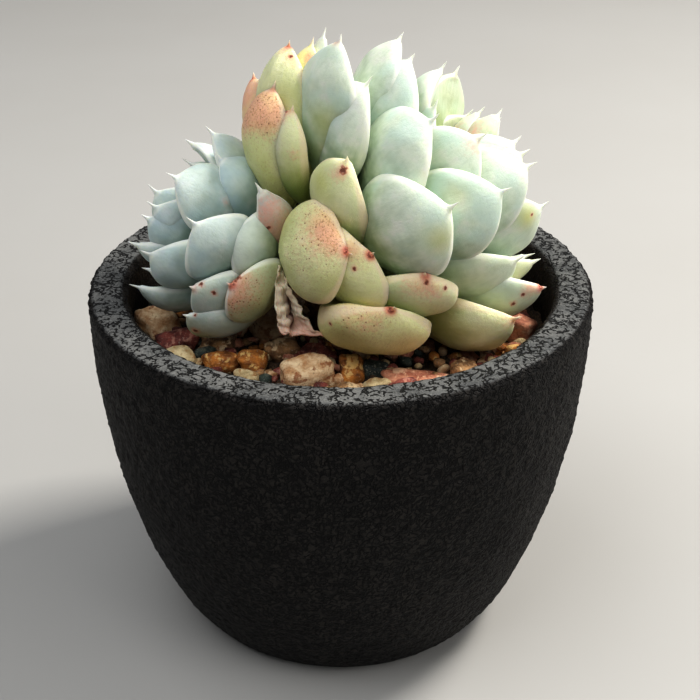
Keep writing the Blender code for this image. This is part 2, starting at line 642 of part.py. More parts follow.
def make_dry_leaf(heads_grown):
    """A dead leaf, dried to a folded sheet: it hangs down, and its end turns aside on the stones."""
    path = np.array(DRY_PATH)
    rows = np.linspace(0, len(path) - 1, DRY_ALONG)
    middle = np.stack([np.interp(rows, np.arange(len(path)), path[:, k]) for k in range(3)], -1)
    half = np.interp(rows, np.arange(len(path)), DRY_HALF_WIDTH)
    ahead = np.gradient(middle, axis=0)
    ahead /= np.linalg.norm(ahead, axis=1, keepdims=True)
    across = np.cross(ahead, np.array([0.0, -1.0, 0.0]))
    across /= np.linalg.norm(across, axis=1, keepdims=True)
    face = np.cross(across, ahead)
    points = []
    for part in DRY_ACROSS:
        fold = DRY_FOLD * abs(part) * half
        points.append(middle + part * half[:, None] * across + fold[:, None] * face)
    points = np.concatenate(points)
    starts = [DRY_ALONG * row for row in range(len(DRY_ACROSS) - 1)]
    faces = [(a + i, a + i + 1, a + i + 1 + DRY_ALONG, a + i + DRY_ALONG)
             for a in starts for i in range(DRY_ALONG - 1)]
    leaf = mesh_object("dry_leaf", points, faces, material("dry_leaf", (0.55, 0.38, 0.3), 0.8))
    sheet = leaf.modifiers.new("thickness", "SOLIDIFY")
    sheet.thickness = DRY_THICK * MM
    sheet.offset = 0.0
    apply_modifiers(leaf)
    boolean(leaf, [mesh_object("cut", points, faces) for points, faces in heads_grown], "DIFFERENCE")


def main():
    """Builds every sub-part."""
    for old in list(bpy.data.objects):
        bpy.data.objects.remove(old)
    make_pot()
    make_soil()
    right = [core_shape(RIGHT_STEM, *RIGHT_CORE)] + right_leaves()
    left = [core_shape(LEFT_STEM, *LEFT_CORE)] + left_leaves()
    right_grown = [core_shape(RIGHT_STEM, *RIGHT_CORE, GAP)] + right_leaves(GAP)
    left_grown = [core_shape(LEFT_STEM, *LEFT_CORE, GAP)] + left_leaves(GAP)
    make_gravel(np.concatenate([points for points, faces in right + left]))
    make_stem(right_grown + left_grown)
    pale = material("leaf_pale", (0.55, 0.68, 0.6), 0.6)
    blue = material("leaf_blue", (0.42, 0.55, 0.52), 0.6)
    make_head("head_right", RIGHT_STEM, RIGHT_CORE, right_leaves(), pale)
    head_left = make_head("head_left", LEFT_STEM, LEFT_CORE, left_leaves(), blue)
    boolean(head_left, [mesh_object("cut", points, faces) for points, faces in right_grown], "DIFFERENCE")
    make_dry_leaf(right_grown + left_grown)


if __name__ == "__main__":
    main()
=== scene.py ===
# %% [markdown]
# # A potted mexican snowball
# The plant is a rosette succulent with two heads: a large pale one that leans to the right, and a smaller
# bluish one to its left. It grows in a black cast-stone pot topped with coloured grit. The CAD model gives
# the sizes and places; this lesson gives each piece its fine surface and finish.

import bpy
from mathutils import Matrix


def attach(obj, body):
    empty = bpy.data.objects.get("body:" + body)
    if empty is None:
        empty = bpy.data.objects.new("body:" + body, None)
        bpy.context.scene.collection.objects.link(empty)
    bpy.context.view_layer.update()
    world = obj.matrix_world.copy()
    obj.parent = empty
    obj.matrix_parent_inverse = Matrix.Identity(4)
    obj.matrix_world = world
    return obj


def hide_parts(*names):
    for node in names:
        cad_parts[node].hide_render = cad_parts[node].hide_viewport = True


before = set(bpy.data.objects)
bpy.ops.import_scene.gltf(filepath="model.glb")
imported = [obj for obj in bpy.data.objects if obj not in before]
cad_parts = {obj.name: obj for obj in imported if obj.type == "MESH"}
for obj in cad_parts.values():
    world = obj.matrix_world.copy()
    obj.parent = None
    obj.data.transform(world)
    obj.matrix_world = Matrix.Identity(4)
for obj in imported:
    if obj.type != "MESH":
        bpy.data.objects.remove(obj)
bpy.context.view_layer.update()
print("CAD nodes:", sorted(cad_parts))

# %% Tools
import math
import random
from collections import namedtuple
from functools import partial

import bpy
import numpy as np

MM = 0.001
GOLDEN_ANGLE = 137.5


def in_scene(name, data):
    """A new object with its data, linked to the scene."""
    made = bpy.data.objects.new(name, data)
    bpy.context.scene.collection.objects.link(made)
    return made


# %% [markdown]
# ## The camera
# The photograph looks down at the rim of the pot by about 29 degrees. The width of the rim, the height of the
# pot and the way the rim narrows towards the back give the distance and the length of the lens.

# %% Place the camera
AIM = (0.00213, 0.0, 0.06544)
CAMERA_DISTANCE = 0.345
CAMERA_ELEVATION = math.radians(28.81)
LENS = 75.1

camera = in_scene("camera", bpy.data.cameras.new("camera"))
camera.data.lens = LENS
camera.data.clip_start = 0.01
camera.location = (AIM[0], AIM[1] - CAMERA_DISTANCE * math.cos(CAMERA_ELEVATION),
                   AIM[2] + CAMERA_DISTANCE * math.sin(CAMERA_ELEVATION))
camera.rotation_euler = (math.pi / 2 - CAMERA_ELEVATION, 0, 0)
bpy.context.scene.camera = camera
print("camera at", tuple(round(c, 4) for c in camera.location))

# %% [markdown]
# ## Light
# In the photograph the shadow falls to the left and towards the viewer, so the key lamp stands high behind
# the plant on the right. Two wide soft lamps, one at the right and one overhead, round the leaves, and the
# pale surroundings do the rest. The plain view transform, with a gamma a little under 1, keeps the deep
# blacks of the pot and the clean whites of the waxy leaves.

# %% Soft studio light
Lamp = namedtuple("Lamp", "name place aim size power tint")
LAMPS = (
    Lamp("key", (0.60, 0.28, 0.86), (0, 0, 0.1), 0.28, 12.5, (1.0, 0.965, 0.91)),
    Lamp("side", (0.80, -0.50, 0.62), (0, 0, 0.09), 0.7, 3.6, (1.0, 0.98, 0.95)),
    Lamp("top", (-0.30, -0.25, 1.0), (0, 0, 0.1), 0.8, 5.8, (0.97, 0.98, 1.0)),
)
SKY_TINT = (0.93, 0.96, 1.0, 1.0)
SKY_STRENGTH = 0.31
GAMMA = 0.82

for lamp in LAMPS:
    made = in_scene(lamp.name, bpy.data.lights.new(lamp.name, "AREA"))
    made.data.size = lamp.size
    made.data.energy = lamp.power
    made.data.color = lamp.tint
    ahead = np.subtract(lamp.aim, lamp.place)
    climb = math.atan2(ahead[2], math.hypot(ahead[0], ahead[1]))
    made.location = lamp.place
    made.rotation_euler = (math.pi / 2 + climb, 0, math.atan2(ahead[1], ahead[0]) - math.pi / 2)

world = bpy.data.worlds.new("studio")
world.use_nodes = True
sky = world.node_tree.nodes["Background"].inputs
sky["Color"].default_value = SKY_TINT
sky["Strength"].default_value = SKY_STRENGTH
bpy.context.scene.world = world
bpy.context.scene.view_settings.view_transform = "Standard"
bpy.context.scene.view_settings.gamma = GAMMA
print(len(LAMPS), "soft lamps")

# %% [markdown]
# ## Meshes from numpy
# Leaves, stones, stem and pot are all tubes of one kind: rings of points, closed at both ends by a pole or
# joined into a loop. A Batch gathers many such tubes, with the marks that paint them, and makes one mesh of
# them. Whole arrays at a time are quick, and a mark stays with its point wherever the surface bends.

# %% Tubes of rings, gathered into one mesh
class Batch:
    """Collects closed tubes of points (millimetres) and per-point marks, and builds one mesh from them."""

    def __init__(self):
        self.points = []
        self.quads = []
        self.fans = []
        self.finish = []
        self.marks = {}
        self.count = 0

    def add(self, grid, poles=(), finish=0, **marks):
        """Adds rings (rings x sides x 3), closed by two poles, or without poles joined last to first.

        Faces are turned outwards by the signed volume. A mark is a value for each point, ring or tube.
        """
        rings, sides = grid.shape[:2]
        ring, side = np.meshgrid(np.arange(rings - 1 if poles else rings), np.arange(sides), indexing="ij")
        after_ring, after = (ring + 1) % rings, (side + 1) % sides
        quads = np.stack([ring * sides + side, ring * sides + after,
                          after_ring * sides + after, after_ring * sides + side], -1).reshape(-1, 4)
        points = grid.reshape(-1, 3)
        fans = np.zeros((0, 3), int)
        if poles:
            points = np.concatenate([points, poles])
            side, after, first = side[0], after[0], np.full(sides, rings * sides)
            fans = np.concatenate([np.stack([first, after, side], -1),
                                   np.stack([first + 1, first - sides + side, first - sides + after], -1)])
        corners = np.concatenate([quads[:, [0, 1, 2]], quads[:, [0, 2, 3]], fans])
        a, b, c = (points[corners[:, k]] - points.mean(0) for k in range(3))
        if np.einsum("ij,ij->i", a, np.cross(b, c)).sum() < 0:
            quads, fans = quads[:, ::-1], fans[:, ::-1]
        self.points.append(points)
        self.quads.append(quads + self.count)
        self.fans.append(fans + self.count)
        self.finish.append((finish, len(quads), len(fans)))
        self.count += len(points)
        for name, value in marks.items():
            value = np.asarray(value, float)
            tail = value.shape[2:] if value.ndim > 1 else value.shape
            flat = np.broadcast_to(value, (rings, sides) + tail).reshape((-1,) + tail)
            ends = [flat[:sides].mean(0)[None], flat[-sides:].mean(0)[None]] if poles else []
            self.marks.setdefault(name, []).append(np.concatenate([flat] + ends))

    def piece(self, name, finishes, replaces):
        """Makes the mesh, gives it its marks and finishes, and hands it to the frame."""
        quads, fans = np.concatenate(self.quads), np.concatenate(self.fans)
        kind, quad_count, fan_count = np.transpose(self.finish)
        finish_of = np.concatenate([np.repeat(kind, quad_count), np.repeat(kind, fan_count)])
        mesh = bpy.data.meshes.new(name)
        mesh.from_pydata((np.concatenate(self.points) * MM).tolist(), [], quads.tolist() + fans.tolist())
        for finish in finishes:
            mesh.materials.append(finish)
        mesh.polygons.foreach_set("use_smooth", np.ones(len(finish_of), bool))
        mesh.polygons.foreach_set("material_index", finish_of.astype(np.int32))
        for mark, values in self.marks.items():
            values = np.concatenate(values).astype(np.float32)
            kind, field = ("FLOAT_VECTOR", "vector") if values.ndim == 2 else ("FLOAT", "value")
            mesh.attributes.new(mark, kind, "POINT").data.foreach_set(field, values.ravel())
        made = in_scene(name, mesh)
        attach(made, "root")
        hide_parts(replaces)
        print(f"{name}: {2 * len(quads) + len(fans)} triangles")


# %% [markdown]
# ## Smooth unevenness
# Nothing that grew or was cast is exactly even. A noise texture could push the surface about, but the mesh
# has to hold the relief itself. Adding up sine waves that run in random directions gives a smooth lumpy
# field at any point in space, cheap enough for whole arrays at once.

# %% A smooth random field
WAVES = 28


def lumps(points, size, seed):
    """Sum of sine waves of random direction, length near size (mm) and phase: about -1 to 1, smooth."""
    draw = np.random.default_rng(seed)
    ahead = draw.normal(size=(WAVES, 3))
    ahead /= np.linalg.norm(ahead, axis=1, keepdims=True)
    ahead *= 2 * np.pi / (size * draw.uniform(0.7, 1.5, (WAVES, 1)))
    return np.sin(points @ ahead.T + draw.uniform(0, 2 * np.pi, WAVES)).sum(-1) * 1.3 / math.sqrt(WAVES)


def relief(points, *layers):
    """Lumps of several sizes added up. A layer is its height, its size (mm) and its seed."""
    return sum(height * lumps(points, size, seed) for height, size, seed in layers)


def rise(value, low, high):
    """Smooth step: 0 below low, 1 above high, and an S between them."""
    part = np.clip((value - low) / (high - low), 0, 1)
    return part * part * (3 - 2 * part)


# %% [markdown]
# ## Writing materials
# A material is a small wiring plan. These short helpers add a node and join it in one line, so that each
# material below reads like a recipe. Noise scales count lumps per metre, or per millimetre on the leaves.

# %% Helpers for node trees
class Wires:
    """Adds nodes to a tree that ends in one node. An input is a plain value or another node's output."""

    def __init__(self, tree, end):
        self.tree = tree
        self.end = end

    def set(self, node, place, value):
        if isinstance(value, bpy.types.NodeSocket):
            self.tree.links.new(value, node.inputs[place])
        else:
            node.inputs[place].default_value = value

    def give(self, **values):
        """Joins values to the last node: the shader, or what a group puts out."""
        for name, value in values.items():
            self.set(self.end, name.replace("_", " "), value)

    def node(self, kind, settings, *values, **named):
        """A node with its settings, its inputs given by place or by name. Returns its outputs."""
        made = self.tree.nodes.new("ShaderNode" + kind)
        for key, value in settings.items():
            setattr(made, key, value)
        for place, value in [*enumerate(values), *named.items()]:
            self.set(made, place, value)
        return made.outputs

    def math(self, operation, *values, clamp=False):
        return self.node("Math", {"operation": operation, "use_clamp": clamp}, *values)[0]

    def plus(self, first, second):
        return self.math("ADD", first, second)

    def minus(self, first, second):
        return self.math("SUBTRACT", first, second)

    def times(self, first, second, clamp=False):
        return self.math("MULTIPLY", first, second, clamp=clamp)

    def moved(self, vector, by):
        return self.node("VectorMath", {"operation": "ADD"}, vector, by)["Vector"]

    def stretched(self, vector, by):
        return self.node("VectorMath", {"operation": "MULTIPLY"}, vector, by)["Vector"]

    def step(self, value, low, high, to_low=0.0, to_high=1.0):
        """Smooth step of a value, from to_low below low to to_high above high."""
        smooth = {"interpolation_type": "SMOOTHSTEP"}
        return self.node("MapRange", smooth, value, low, high, to_low, to_high)[0]

    def coats(self, base, *coats):
        """Lays coats over a base colour, one after the other. A coat is its share and its colour."""
        for share, tint in coats:
            mixer = self.tree.nodes.new("ShaderNodeMix")
            mixer.data_type = "RGBA"
            for name, value in (("Factor_Float", share), ("A_Color", base), ("B_Color", tint)):
                place = [socket.identifier for socket in mixer.inputs].index(name)
                self.set(mixer, place, value)
            base = mixer.outputs[2]
        return base

    def noise(self, vector, scale, detail=3.0, roughness=0.55):
        made = self.node("TexNoise", {}, Vector=vector, Scale=scale, Detail=detail, Roughness=roughness)
        return made["Fac"]

    def cells(self, vector, scale):
        return self.node("TexVoronoi", {}, Vector=vector, Scale=scale)["Distance"]

    def mark(self, name, output="Fac"):
        return self.node("Attribute", {"attribute_name": name})[output]

    def place(self):
        return self.node("TexCoord", {})["Object"]

    def group(self, tree, **inputs):
        return self.node("Group", {"node_tree": tree}, **inputs)

    def bump(self, height, depth, strength):
        """The normal of a height field whose full height is depth (metres)."""
        return self.node("Bump", {}, Height=height, Distance=depth, Strength=strength)["Normal"]


def colour(red, green, blue):
    """A colour written as 0 to 255 screen values, turned into the linear values that nodes expect."""
    linear = [((v / 255 + 0.055) / 1.055) ** 2.4 if v > 10 else v / 3294.6 for v in (red, green, blue)]
    return (*linear, 1.0)


def new_group(name, inputs, outputs):
    """A node group, empty but for its named sockets. Returns it, its wires and what it is given."""
    tree = bpy.data.node_groups.new(name, "ShaderNodeTree")
    for way, sockets in (("INPUT", inputs), ("OUTPUT", outputs)):
        for socket, kind in sockets.items():
            tree.interface.new_socket(socket, in_out=way, socket_type=kind)
    return tree, Wires(tree, tree.nodes.new("NodeGroupOutput")), tree.nodes.new("NodeGroupInput").outputs


def new_material(name, **sockets):
    """A material, with the plain sockets of its Principled shader set here. Returns it and its wires."""
    made = bpy.data.materials.new(name)
    made.use_nodes = True
    wires = Wires(made.node_tree, made.node_tree.nodes["Principled BSDF"])
    wires.give(**sockets)
    return made, wires


FLOAT, COLOUR, VECTOR = "NodeSocketFloat", "NodeSocketColor", "NodeSocketVector"
FINISH_SOCKETS = {"Color": COLOUR, "Roughness": FLOAT, "Height": FLOAT}

# %% [markdown]
# ## The floor
# A plain pale sheet, so that nothing takes the eye off the plant. A plane primitive would do as well; four
# corners written out show all there is to it, and it reaches out of every view.

# %% Make the floor
FLOOR_HALF = 8.0

floor_finish, wires = new_material("floor_finish", Roughness=0.7)
patchy = wires.noise(wires.place(), 9.0)
wires.give(Base_Color=wires.coats(colour(178, 176, 172), (patchy, colour(184, 183, 180))))
floor_mesh = bpy.data.meshes.new("floor")
floor_mesh.from_pydata([(-FLOOR_HALF, -FLOOR_HALF, 0), (FLOOR_HALF, -FLOOR_HALF, 0),
                        (FLOOR_HALF, FLOOR_HALF, 0), (-FLOOR_HALF, FLOOR_HALF, 0)], [], [(0, 1, 2, 3)])
floor_mesh.materials.append(floor_finish)
floor = in_scene("floor", floor_mesh)

# %% [markdown]
# ## Shared effects
# Cast stone is full of ragged hollows where air was caught: short crooked worms, not round holes. A cell
# texture would make them round, so they lie where a noise crosses its middle value, and a second noise
# breaks those lines up. Mottling is the slow change of tone that every natural thing has.

# %% Node groups for pits and mottling
pits, wires, given = new_group("pits", {"Vector": VECTOR, "Scale": FLOAT, "Width": FLOAT, "Share": FLOAT},
                               {"Mask": FLOAT, "Height": FLOAT})
crossing = wires.math("ABSOLUTE", wires.minus(wires.noise(given["Vector"], given["Scale"], 2.0, 0.5), 0.5))
where = wires.noise(wires.moved(given["Vector"], (0.31, 0.17, 0.23)), wires.times(given["Scale"], 0.8), 2.0)
limit = wires.minus(1.0, given["Share"])
spread = wires.times(given["Width"], wires.step(where, wires.minus(limit, 0.06), wires.plus(limit, 0.06)))
wires.give(Mask=wires.step(crossing, wires.times(spread, 0.6), spread, 1.0, 0.0),
           Height=wires.step(crossing, 0.0, wires.times(spread, 1.4)))

mottle, wires, given = new_group(
    "mottle", {"Vector": VECTOR, "Scale": FLOAT, "Dark": COLOUR, "Light": COLOUR}, {"Color": COLOUR})
tone = wires.step(wires.noise(given["Vector"], given["Scale"], 4.0), 0.3, 0.7)
wires.give(Color=wires.coats(given["Dark"], (tone, given["Light"])))

# %% [markdown]
# ## The pot
# The pot is cast from cement with lava sand. Its wall is black and pebbled all over, because it came out of a
# rough mould; its rim was ground flat, so it is smoother, greyer and shows the pits as sharp black holes.
# Part
# of that grey is painted light: the top, which faces the lamps, is coloured lighter than the wall.
# Spin could turn the bowl from one outline; here the outline is an array, so that every point can then move
# a little along its normal.

# %% The pot's outline
POT_HEIGHT = 84.5
RIM_RADIUS = 57.5
FOOT_RADIUS = 36.0
WALL = 9.0
BASE_THICK = 10.0
RIM_OUTER_ROUND = 1.6
RIM_INNER_ROUND = 2.2
DRAIN_RADIUS = 4.0
GRIT_TOP = 72.4
SOIL_TOP = 68.0
FLAT_MARGIN = 0.4                # from the end of a round edge to the next point (mm)


def outer_radius(height):
    """Foot radius plus a rounded belly: quick growth low down, nearly upright at the rim."""
    return FOOT_RADIUS + (RIM_RADIUS - FOOT_RADIUS) * (1 - (1 - height / POT_HEIGHT) ** 2.1) ** 0.74


def inner_radius(height):
    return outer_radius(height) - WALL


def arc(radius, height, size, first, last, points=7):
    """Points of an arc of the given size round a centre, from one angle to another (degrees)."""
    angle = np.radians(np.linspace(first, last, points))
    return np.stack([radius + size * np.cos(angle), height + size * np.sin(angle)], -1)


def level(first, last, height, points):
    """Points of a level line from one radius to another."""
    return np.stack([np.linspace(first, last, points), np.full(points, height)], -1)


def upright(radius, heights):
    return np.stack([radius(heights), heights], -1)


outer_top = POT_HEIGHT - RIM_OUTER_ROUND
inner_top = POT_HEIGHT - RIM_INNER_ROUND
flat_outside = outer_radius(outer_top) - RIM_OUTER_ROUND
flat_inside = inner_radius(inner_top) + RIM_INNER_ROUND
outer_outline = np.concatenate([
    level(DRAIN_RADIUS, FOOT_RADIUS - 1.0, 0.0, 8),
    upright(outer_radius, np.array([0.15, 0.4, 0.8, *np.linspace(1.3, outer_top, 128)])),
    arc(flat_outside, outer_top, RIM_OUTER_ROUND, 10, 90),
    level(flat_outside - FLAT_MARGIN, flat_inside + FLAT_MARGIN, POT_HEIGHT, 13)])
inner_outline = np.concatenate([
    arc(flat_inside, inner_top, RIM_INNER_ROUND, 90, 178),
    upright(inner_radius, np.linspace(inner_top - FLAT_MARGIN, GRIT_TOP - 3, 20)),
    upright(inner_radius, np.linspace(GRIT_TOP - 8, BASE_THICK, 9)),
    level(inner_radius(BASE_THICK) - 3, DRAIN_RADIUS, BASE_THICK, 4)])
pot_outline = np.concatenate([outer_outline, inner_outline])
print("pot outline:", len(pot_outline), "points")

# %% Turn the outline and roughen it
POT_SIDES = 470
POT_RELIEF = ((0.09, 2.3, 1), (0.06, 1.6, 2), (0.08, 14.0, 3))
CHIP_DEPTH = 0.45                # how deep the rim's edges are worn (mm)
RIM_SMOOTHER = 0.85              # share of the relief that grinding took off the rim
INSIDE_SMOOTHER = 0.55           # the same for the smoother inner wall


def turned(outline, sides):
    """Every outline point swept round the Z axis: rings run along the outline, sides go round."""
    angle = np.arange(sides) * 2 * np.pi / sides
    radius, height = outline[:, :1], outline[:, 1:]
    return np.stack([radius * np.cos(angle), radius * np.sin(angle), height + 0 * angle], -1)


def outline_normals(outline):
    """Outward direction of each outline point: its tangent turned by a quarter."""
    tangent = np.gradient(outline, axis=0)
    tangent /= np.maximum(np.linalg.norm(tangent, axis=1, keepdims=True), 1e-9)
    return np.stack([tangent[:, 1], -tangent[:, 0]], -1)


rings = turned(pot_outline, POT_SIDES)
outward = turned(outline_normals(pot_outline), POT_SIDES)
height = rings[..., 2]
on_top = rise(height, POT_HEIGHT - 0.35, POT_HEIGHT - 0.02)
inside = (np.arange(len(pot_outline)) >= len(outer_outline))[:, None] * (1 - on_top)
rough = rise(height, 0.0, 3.0) * (1 - on_top * RIM_SMOOTHER) * relief(rings, *POT_RELIEF)
edge = rise(height, POT_HEIGHT - 2.6, POT_HEIGHT - 0.6) * (1 - on_top)
chipped = CHIP_DEPTH * edge * rise(lumps(rings, 2.4, 4), 0.2, 0.9)
rings = rings + outward * (rough * (1 - INSIDE_SMOOTHER * inside) - chipped)[..., None]
pot_batch = Batch()
pot_batch.add(rings, rim_top=on_top, inside=inside)

# %% [markdown]
# ### Cast stone
# Two looks share one material. Where the mark rim_top is 1 the stone is ground: grey plates with sharp black
# pits between them. Part of that grey is painted light: the top, which faces the lamps, is coloured lighter
# than the wall. Elsewhere it is as it left the mould: black, with crooked pits that join into a network and
# leave grains about a millimetre wide standing between them. It hardly shines at all. The pits are too small
# for the mesh, so they are colour and bump.

# %% Cast stone
cast_stone, wires = new_material("cast_stone", Roughness=0.62, Specular_IOR_Level=0.2)
place = wires.place()
top = wires.mark("rim_top")
sharp = wires.group(pits, Vector=place, Scale=620.0, Width=0.075, Share=0.55)
small = wires.group(pits, Vector=place, Scale=1400.0, Width=0.05, Share=0.4)
worms = wires.group(pits, Vector=place, Scale=820.0, Width=0.085, Share=0.8)
grain = wires.noise(place, 2600.0)
# The rim's grey is partly the ground stone's own tone and partly painted light, lighter than the wall.
ground_and_lit = wires.group(mottle, Vector=place, Scale=160.0, Dark=colour(80, 81, 81), Light=colour(112, 112, 110))
cast = wires.group(mottle, Vector=place, Scale=420.0, Dark=colour(22, 20, 19), Light=colour(44, 41, 38))
holes = wires.math("MAXIMUM", sharp["Mask"], wires.times(small["Mask"], 0.6))
rim_colour = wires.coats(ground_and_lit["Color"], (wires.step(grain, 0.45, 0.75, 0.0, 0.6), colour(140, 140, 138)),
                         (wires.times(holes, 0.94), colour(12, 11, 11)))
wall_colour = wires.coats(cast["Color"], (wires.step(grain, 0.5, 0.75, 0.0, 0.4), colour(66, 62, 58)),
                          (wires.times(worms["Mask"], 0.92), colour(7, 6, 6)),
                          (wires.times(wires.mark("inside"), 0.5), colour(44, 37, 30)))
wall_height = wires.plus(worms["Height"], wires.times(grain, 0.35))
rim_height = wires.plus(wires.times(sharp["Height"], 0.9), wires.times(grain, 0.15))
height = wires.plus(wires.times(wall_height, wires.minus(1.0, top)), wires.times(rim_height, top))
wires.give(Base_Color=wires.coats(wall_colour, (top, rim_colour)), Normal=wires.bump(height, 0.0005, 0.9))
pot_batch.piece("bowl", [cast_stone], "pot")

# %% [markdown]
# ## Where the leaves stand
# Each head is a leafy stem whose middle line is an arc: level where it is old, steep at the growing tip. A
# leaf could be placed by its coordinates, but a plant sets it by how far along the stem it sits, which way
# round it turns, and how far it leans away, and so does this lesson.

# %% The stems
class StemArc:
    """Middle line of a leafy stem: an arc in one upright plane, level where it is old and steep at the tip.

    The slope grows from slope_start to slope_end (degrees) with the square of the distance along it.
    """

    def __init__(self, start, heading, slope_start, slope_end, length, hand):
        self.start = np.array(start, float)
        self.flat = np.array([math.cos(math.radians(heading)), math.sin(math.radians(heading)), 0.0])
        self.slope_start = slope_start
        self.slope_end = slope_end
        self.length = length
        self.hand = hand         # 1 if the stem runs to the right of the front, -1 if to the left
        self.stations = np.linspace(-12.0, length + 12.0, 400)
        slope = np.radians(self.slope(self.stations))
        steps = np.stack([np.cos(slope), np.sin(slope)]) * (self.stations[1] - self.stations[0])
        run, climb = np.cumsum(steps, axis=1)
        self.run = run - np.interp(0.0, self.stations, run)
        self.climb = climb - np.interp(0.0, self.stations, climb)

    def slope(self, along):
        part = np.clip(np.asarray(along, float) / self.length, 0.0, 1.2)
        return self.slope_start + (self.slope_end - self.slope_start) * part ** 2

    def point(self, along):
        climb = np.array([0.0, 0.0, np.interp(along, self.stations, self.climb)])
        return self.start + np.interp(along, self.stations, self.run) * self.flat + climb

    def axes(self, along):
        """The stem's own direction, its upper side, and the side that faces the front."""
        slope = math.radians(float(self.slope(along)))
        up = np.array([0.0, 0.0, 1.0])
        ahead = math.cos(slope) * self.flat + math.sin(slope) * up
        above = -math.sin(slope) * self.flat + math.cos(slope) * up
        return ahead, above, self.hand * np.cross(ahead, above)


RIGHT_STEM = StemArc((-10, 1, 102), 6, -6, 62, 42, 1)
LEFT_STEM = StemArc((-15, 0, 93), 168, 5, 60, 20, -1)

# %% [markdown]
# ### The leaves, one by one
# The leaves that the photograph shows are listed one by one. A row says where a leaf stands, how yellow it
# has turned, where it blushes, how freckled it is, and where its scars are.

# %% The leaves of the photograph
# along: place on the stem (mm). turn: round the stem, 0 up, 90 to the front (degrees). lean: away from the
# stem's direction (degrees). bow: sag over length. roll: twist (degrees). drop: root below the middle line
# (mm). yellow, freckle, tip (how red the end is): 0 to 1. blunt: how square the end is. ridge: lengthwise
# folds (mm).
Leaf = namedtuple("Leaf", "along turn lean length width bow roll drop yellow freckle tip patches scars blunt "
                  "ridge", defaults=(0.12, 0, 0, 0, 0, 0.12, (), (), 0, 0))

# A patch of colour: which mark it adds to, where it lies (turn round the leaf: 0 right edge, 90 inner face,
# 180 left edge, -90 outer face; along: 0 root, 1 end), how far it reaches (mm) and its strength.
Patch = namedtuple("Patch", "mark turn along reach strength")
# green() adds to the mark dark: painted shade, the darker root green laid on lower, outer faces.
blush, gold, green = (partial(Patch, mark) for mark in ("blush", "gold", "dark"))
Scar = namedtuple("Scar", "turn along radius")

RIGHT_YOUNG = (
    Leaf(8, -11, 96, 35, 10, 0.10, 35),
    Leaf(9, 7, 93, 35.5, 18, 0.10, 35, tip=0.5, patches=(gold(-120, 0.6, 4, 0.6), gold(-130, 0.4, 4, 0.5))),
    Leaf(19, -4, 74, 32.5, 20, 0.12, 15),
    Leaf(19, 5, 70, 30, 19, 0.12, 30),
    Leaf(9, 18, 82, 29, 19, 0.10, 20),
    Leaf(20, 31, 67, 30.5, 23, 0.14, 10, 5),
    Leaf(32, -16, 48, 22, 17),
    Leaf(40, -44, 35, 16.5, 17, yellow=0.35, tip=0.3),
    Leaf(34, 18, 58, 17, 11),
    Leaf(36, -60, 28, 12, 11, yellow=0.4, tip=0.3),
    Leaf(29, 46, 44, 24.5, 18, 0.12, 10, 4, patches=(blush(-95, 0.99, 3, 0.6),)),
    Leaf(40, -7, 15, 16, 8, 0.10, 0, 6, yellow=0.3, patches=(blush(-90, 0.6, 5, 0.8),)),
    Leaf(41, 47, 6, 17, 8, 0.10, 0, 6, yellow=0.3, patches=(blush(-60, 0.65, 5, 0.7),)),
    Leaf(18, 61, 64, 31, 25, 0.16, 25, 7, patches=(gold(-126, 0.9, 3.5, 0.75), gold(-90, 0.55, 5, 0.3))),
    Leaf(24, 62, 45, 31, 21, 0.15, 15, 8, patches=(gold(-60, 0.8, 3, 0.35),)),
    Leaf(34, 62, 18, 22.5, 15, drop=6),
    Leaf(32, 67, 20, 24.5, 16, drop=6, yellow=0.25),
    Leaf(28, 57, 25, 30, 20, 0.12, 10, 9),
    Leaf(26, 88, 16, 30, 19, 0.12, 20, 9, patches=(gold(-72, 0.89, 3, 1.0),), scars=(Scar(-70, 0.93, 0.3),)),
    Leaf(21, 83, 31, 30.5, 18, 0.12, 40, 14, yellow=0.25),
    Leaf(26, 128, 24, 27, 14, drop=13, yellow=0.6, freckle=0.2, patches=(blush(-90, 0.8, 4, 0.4),)),
    Leaf(14, 6, 80, 21, 15, 0.12, 10),
    Leaf(26, 112, 33, 30.5, 16, 0.12, 5, 17, yellow=0.3, freckle=0.3, tip=0.9,
         patches=(blush(-36, 0.96, 3, 0.8),), scars=(Scar(-81, 0.82, 0.45), Scar(-60, 0.9, 0.4))),
)
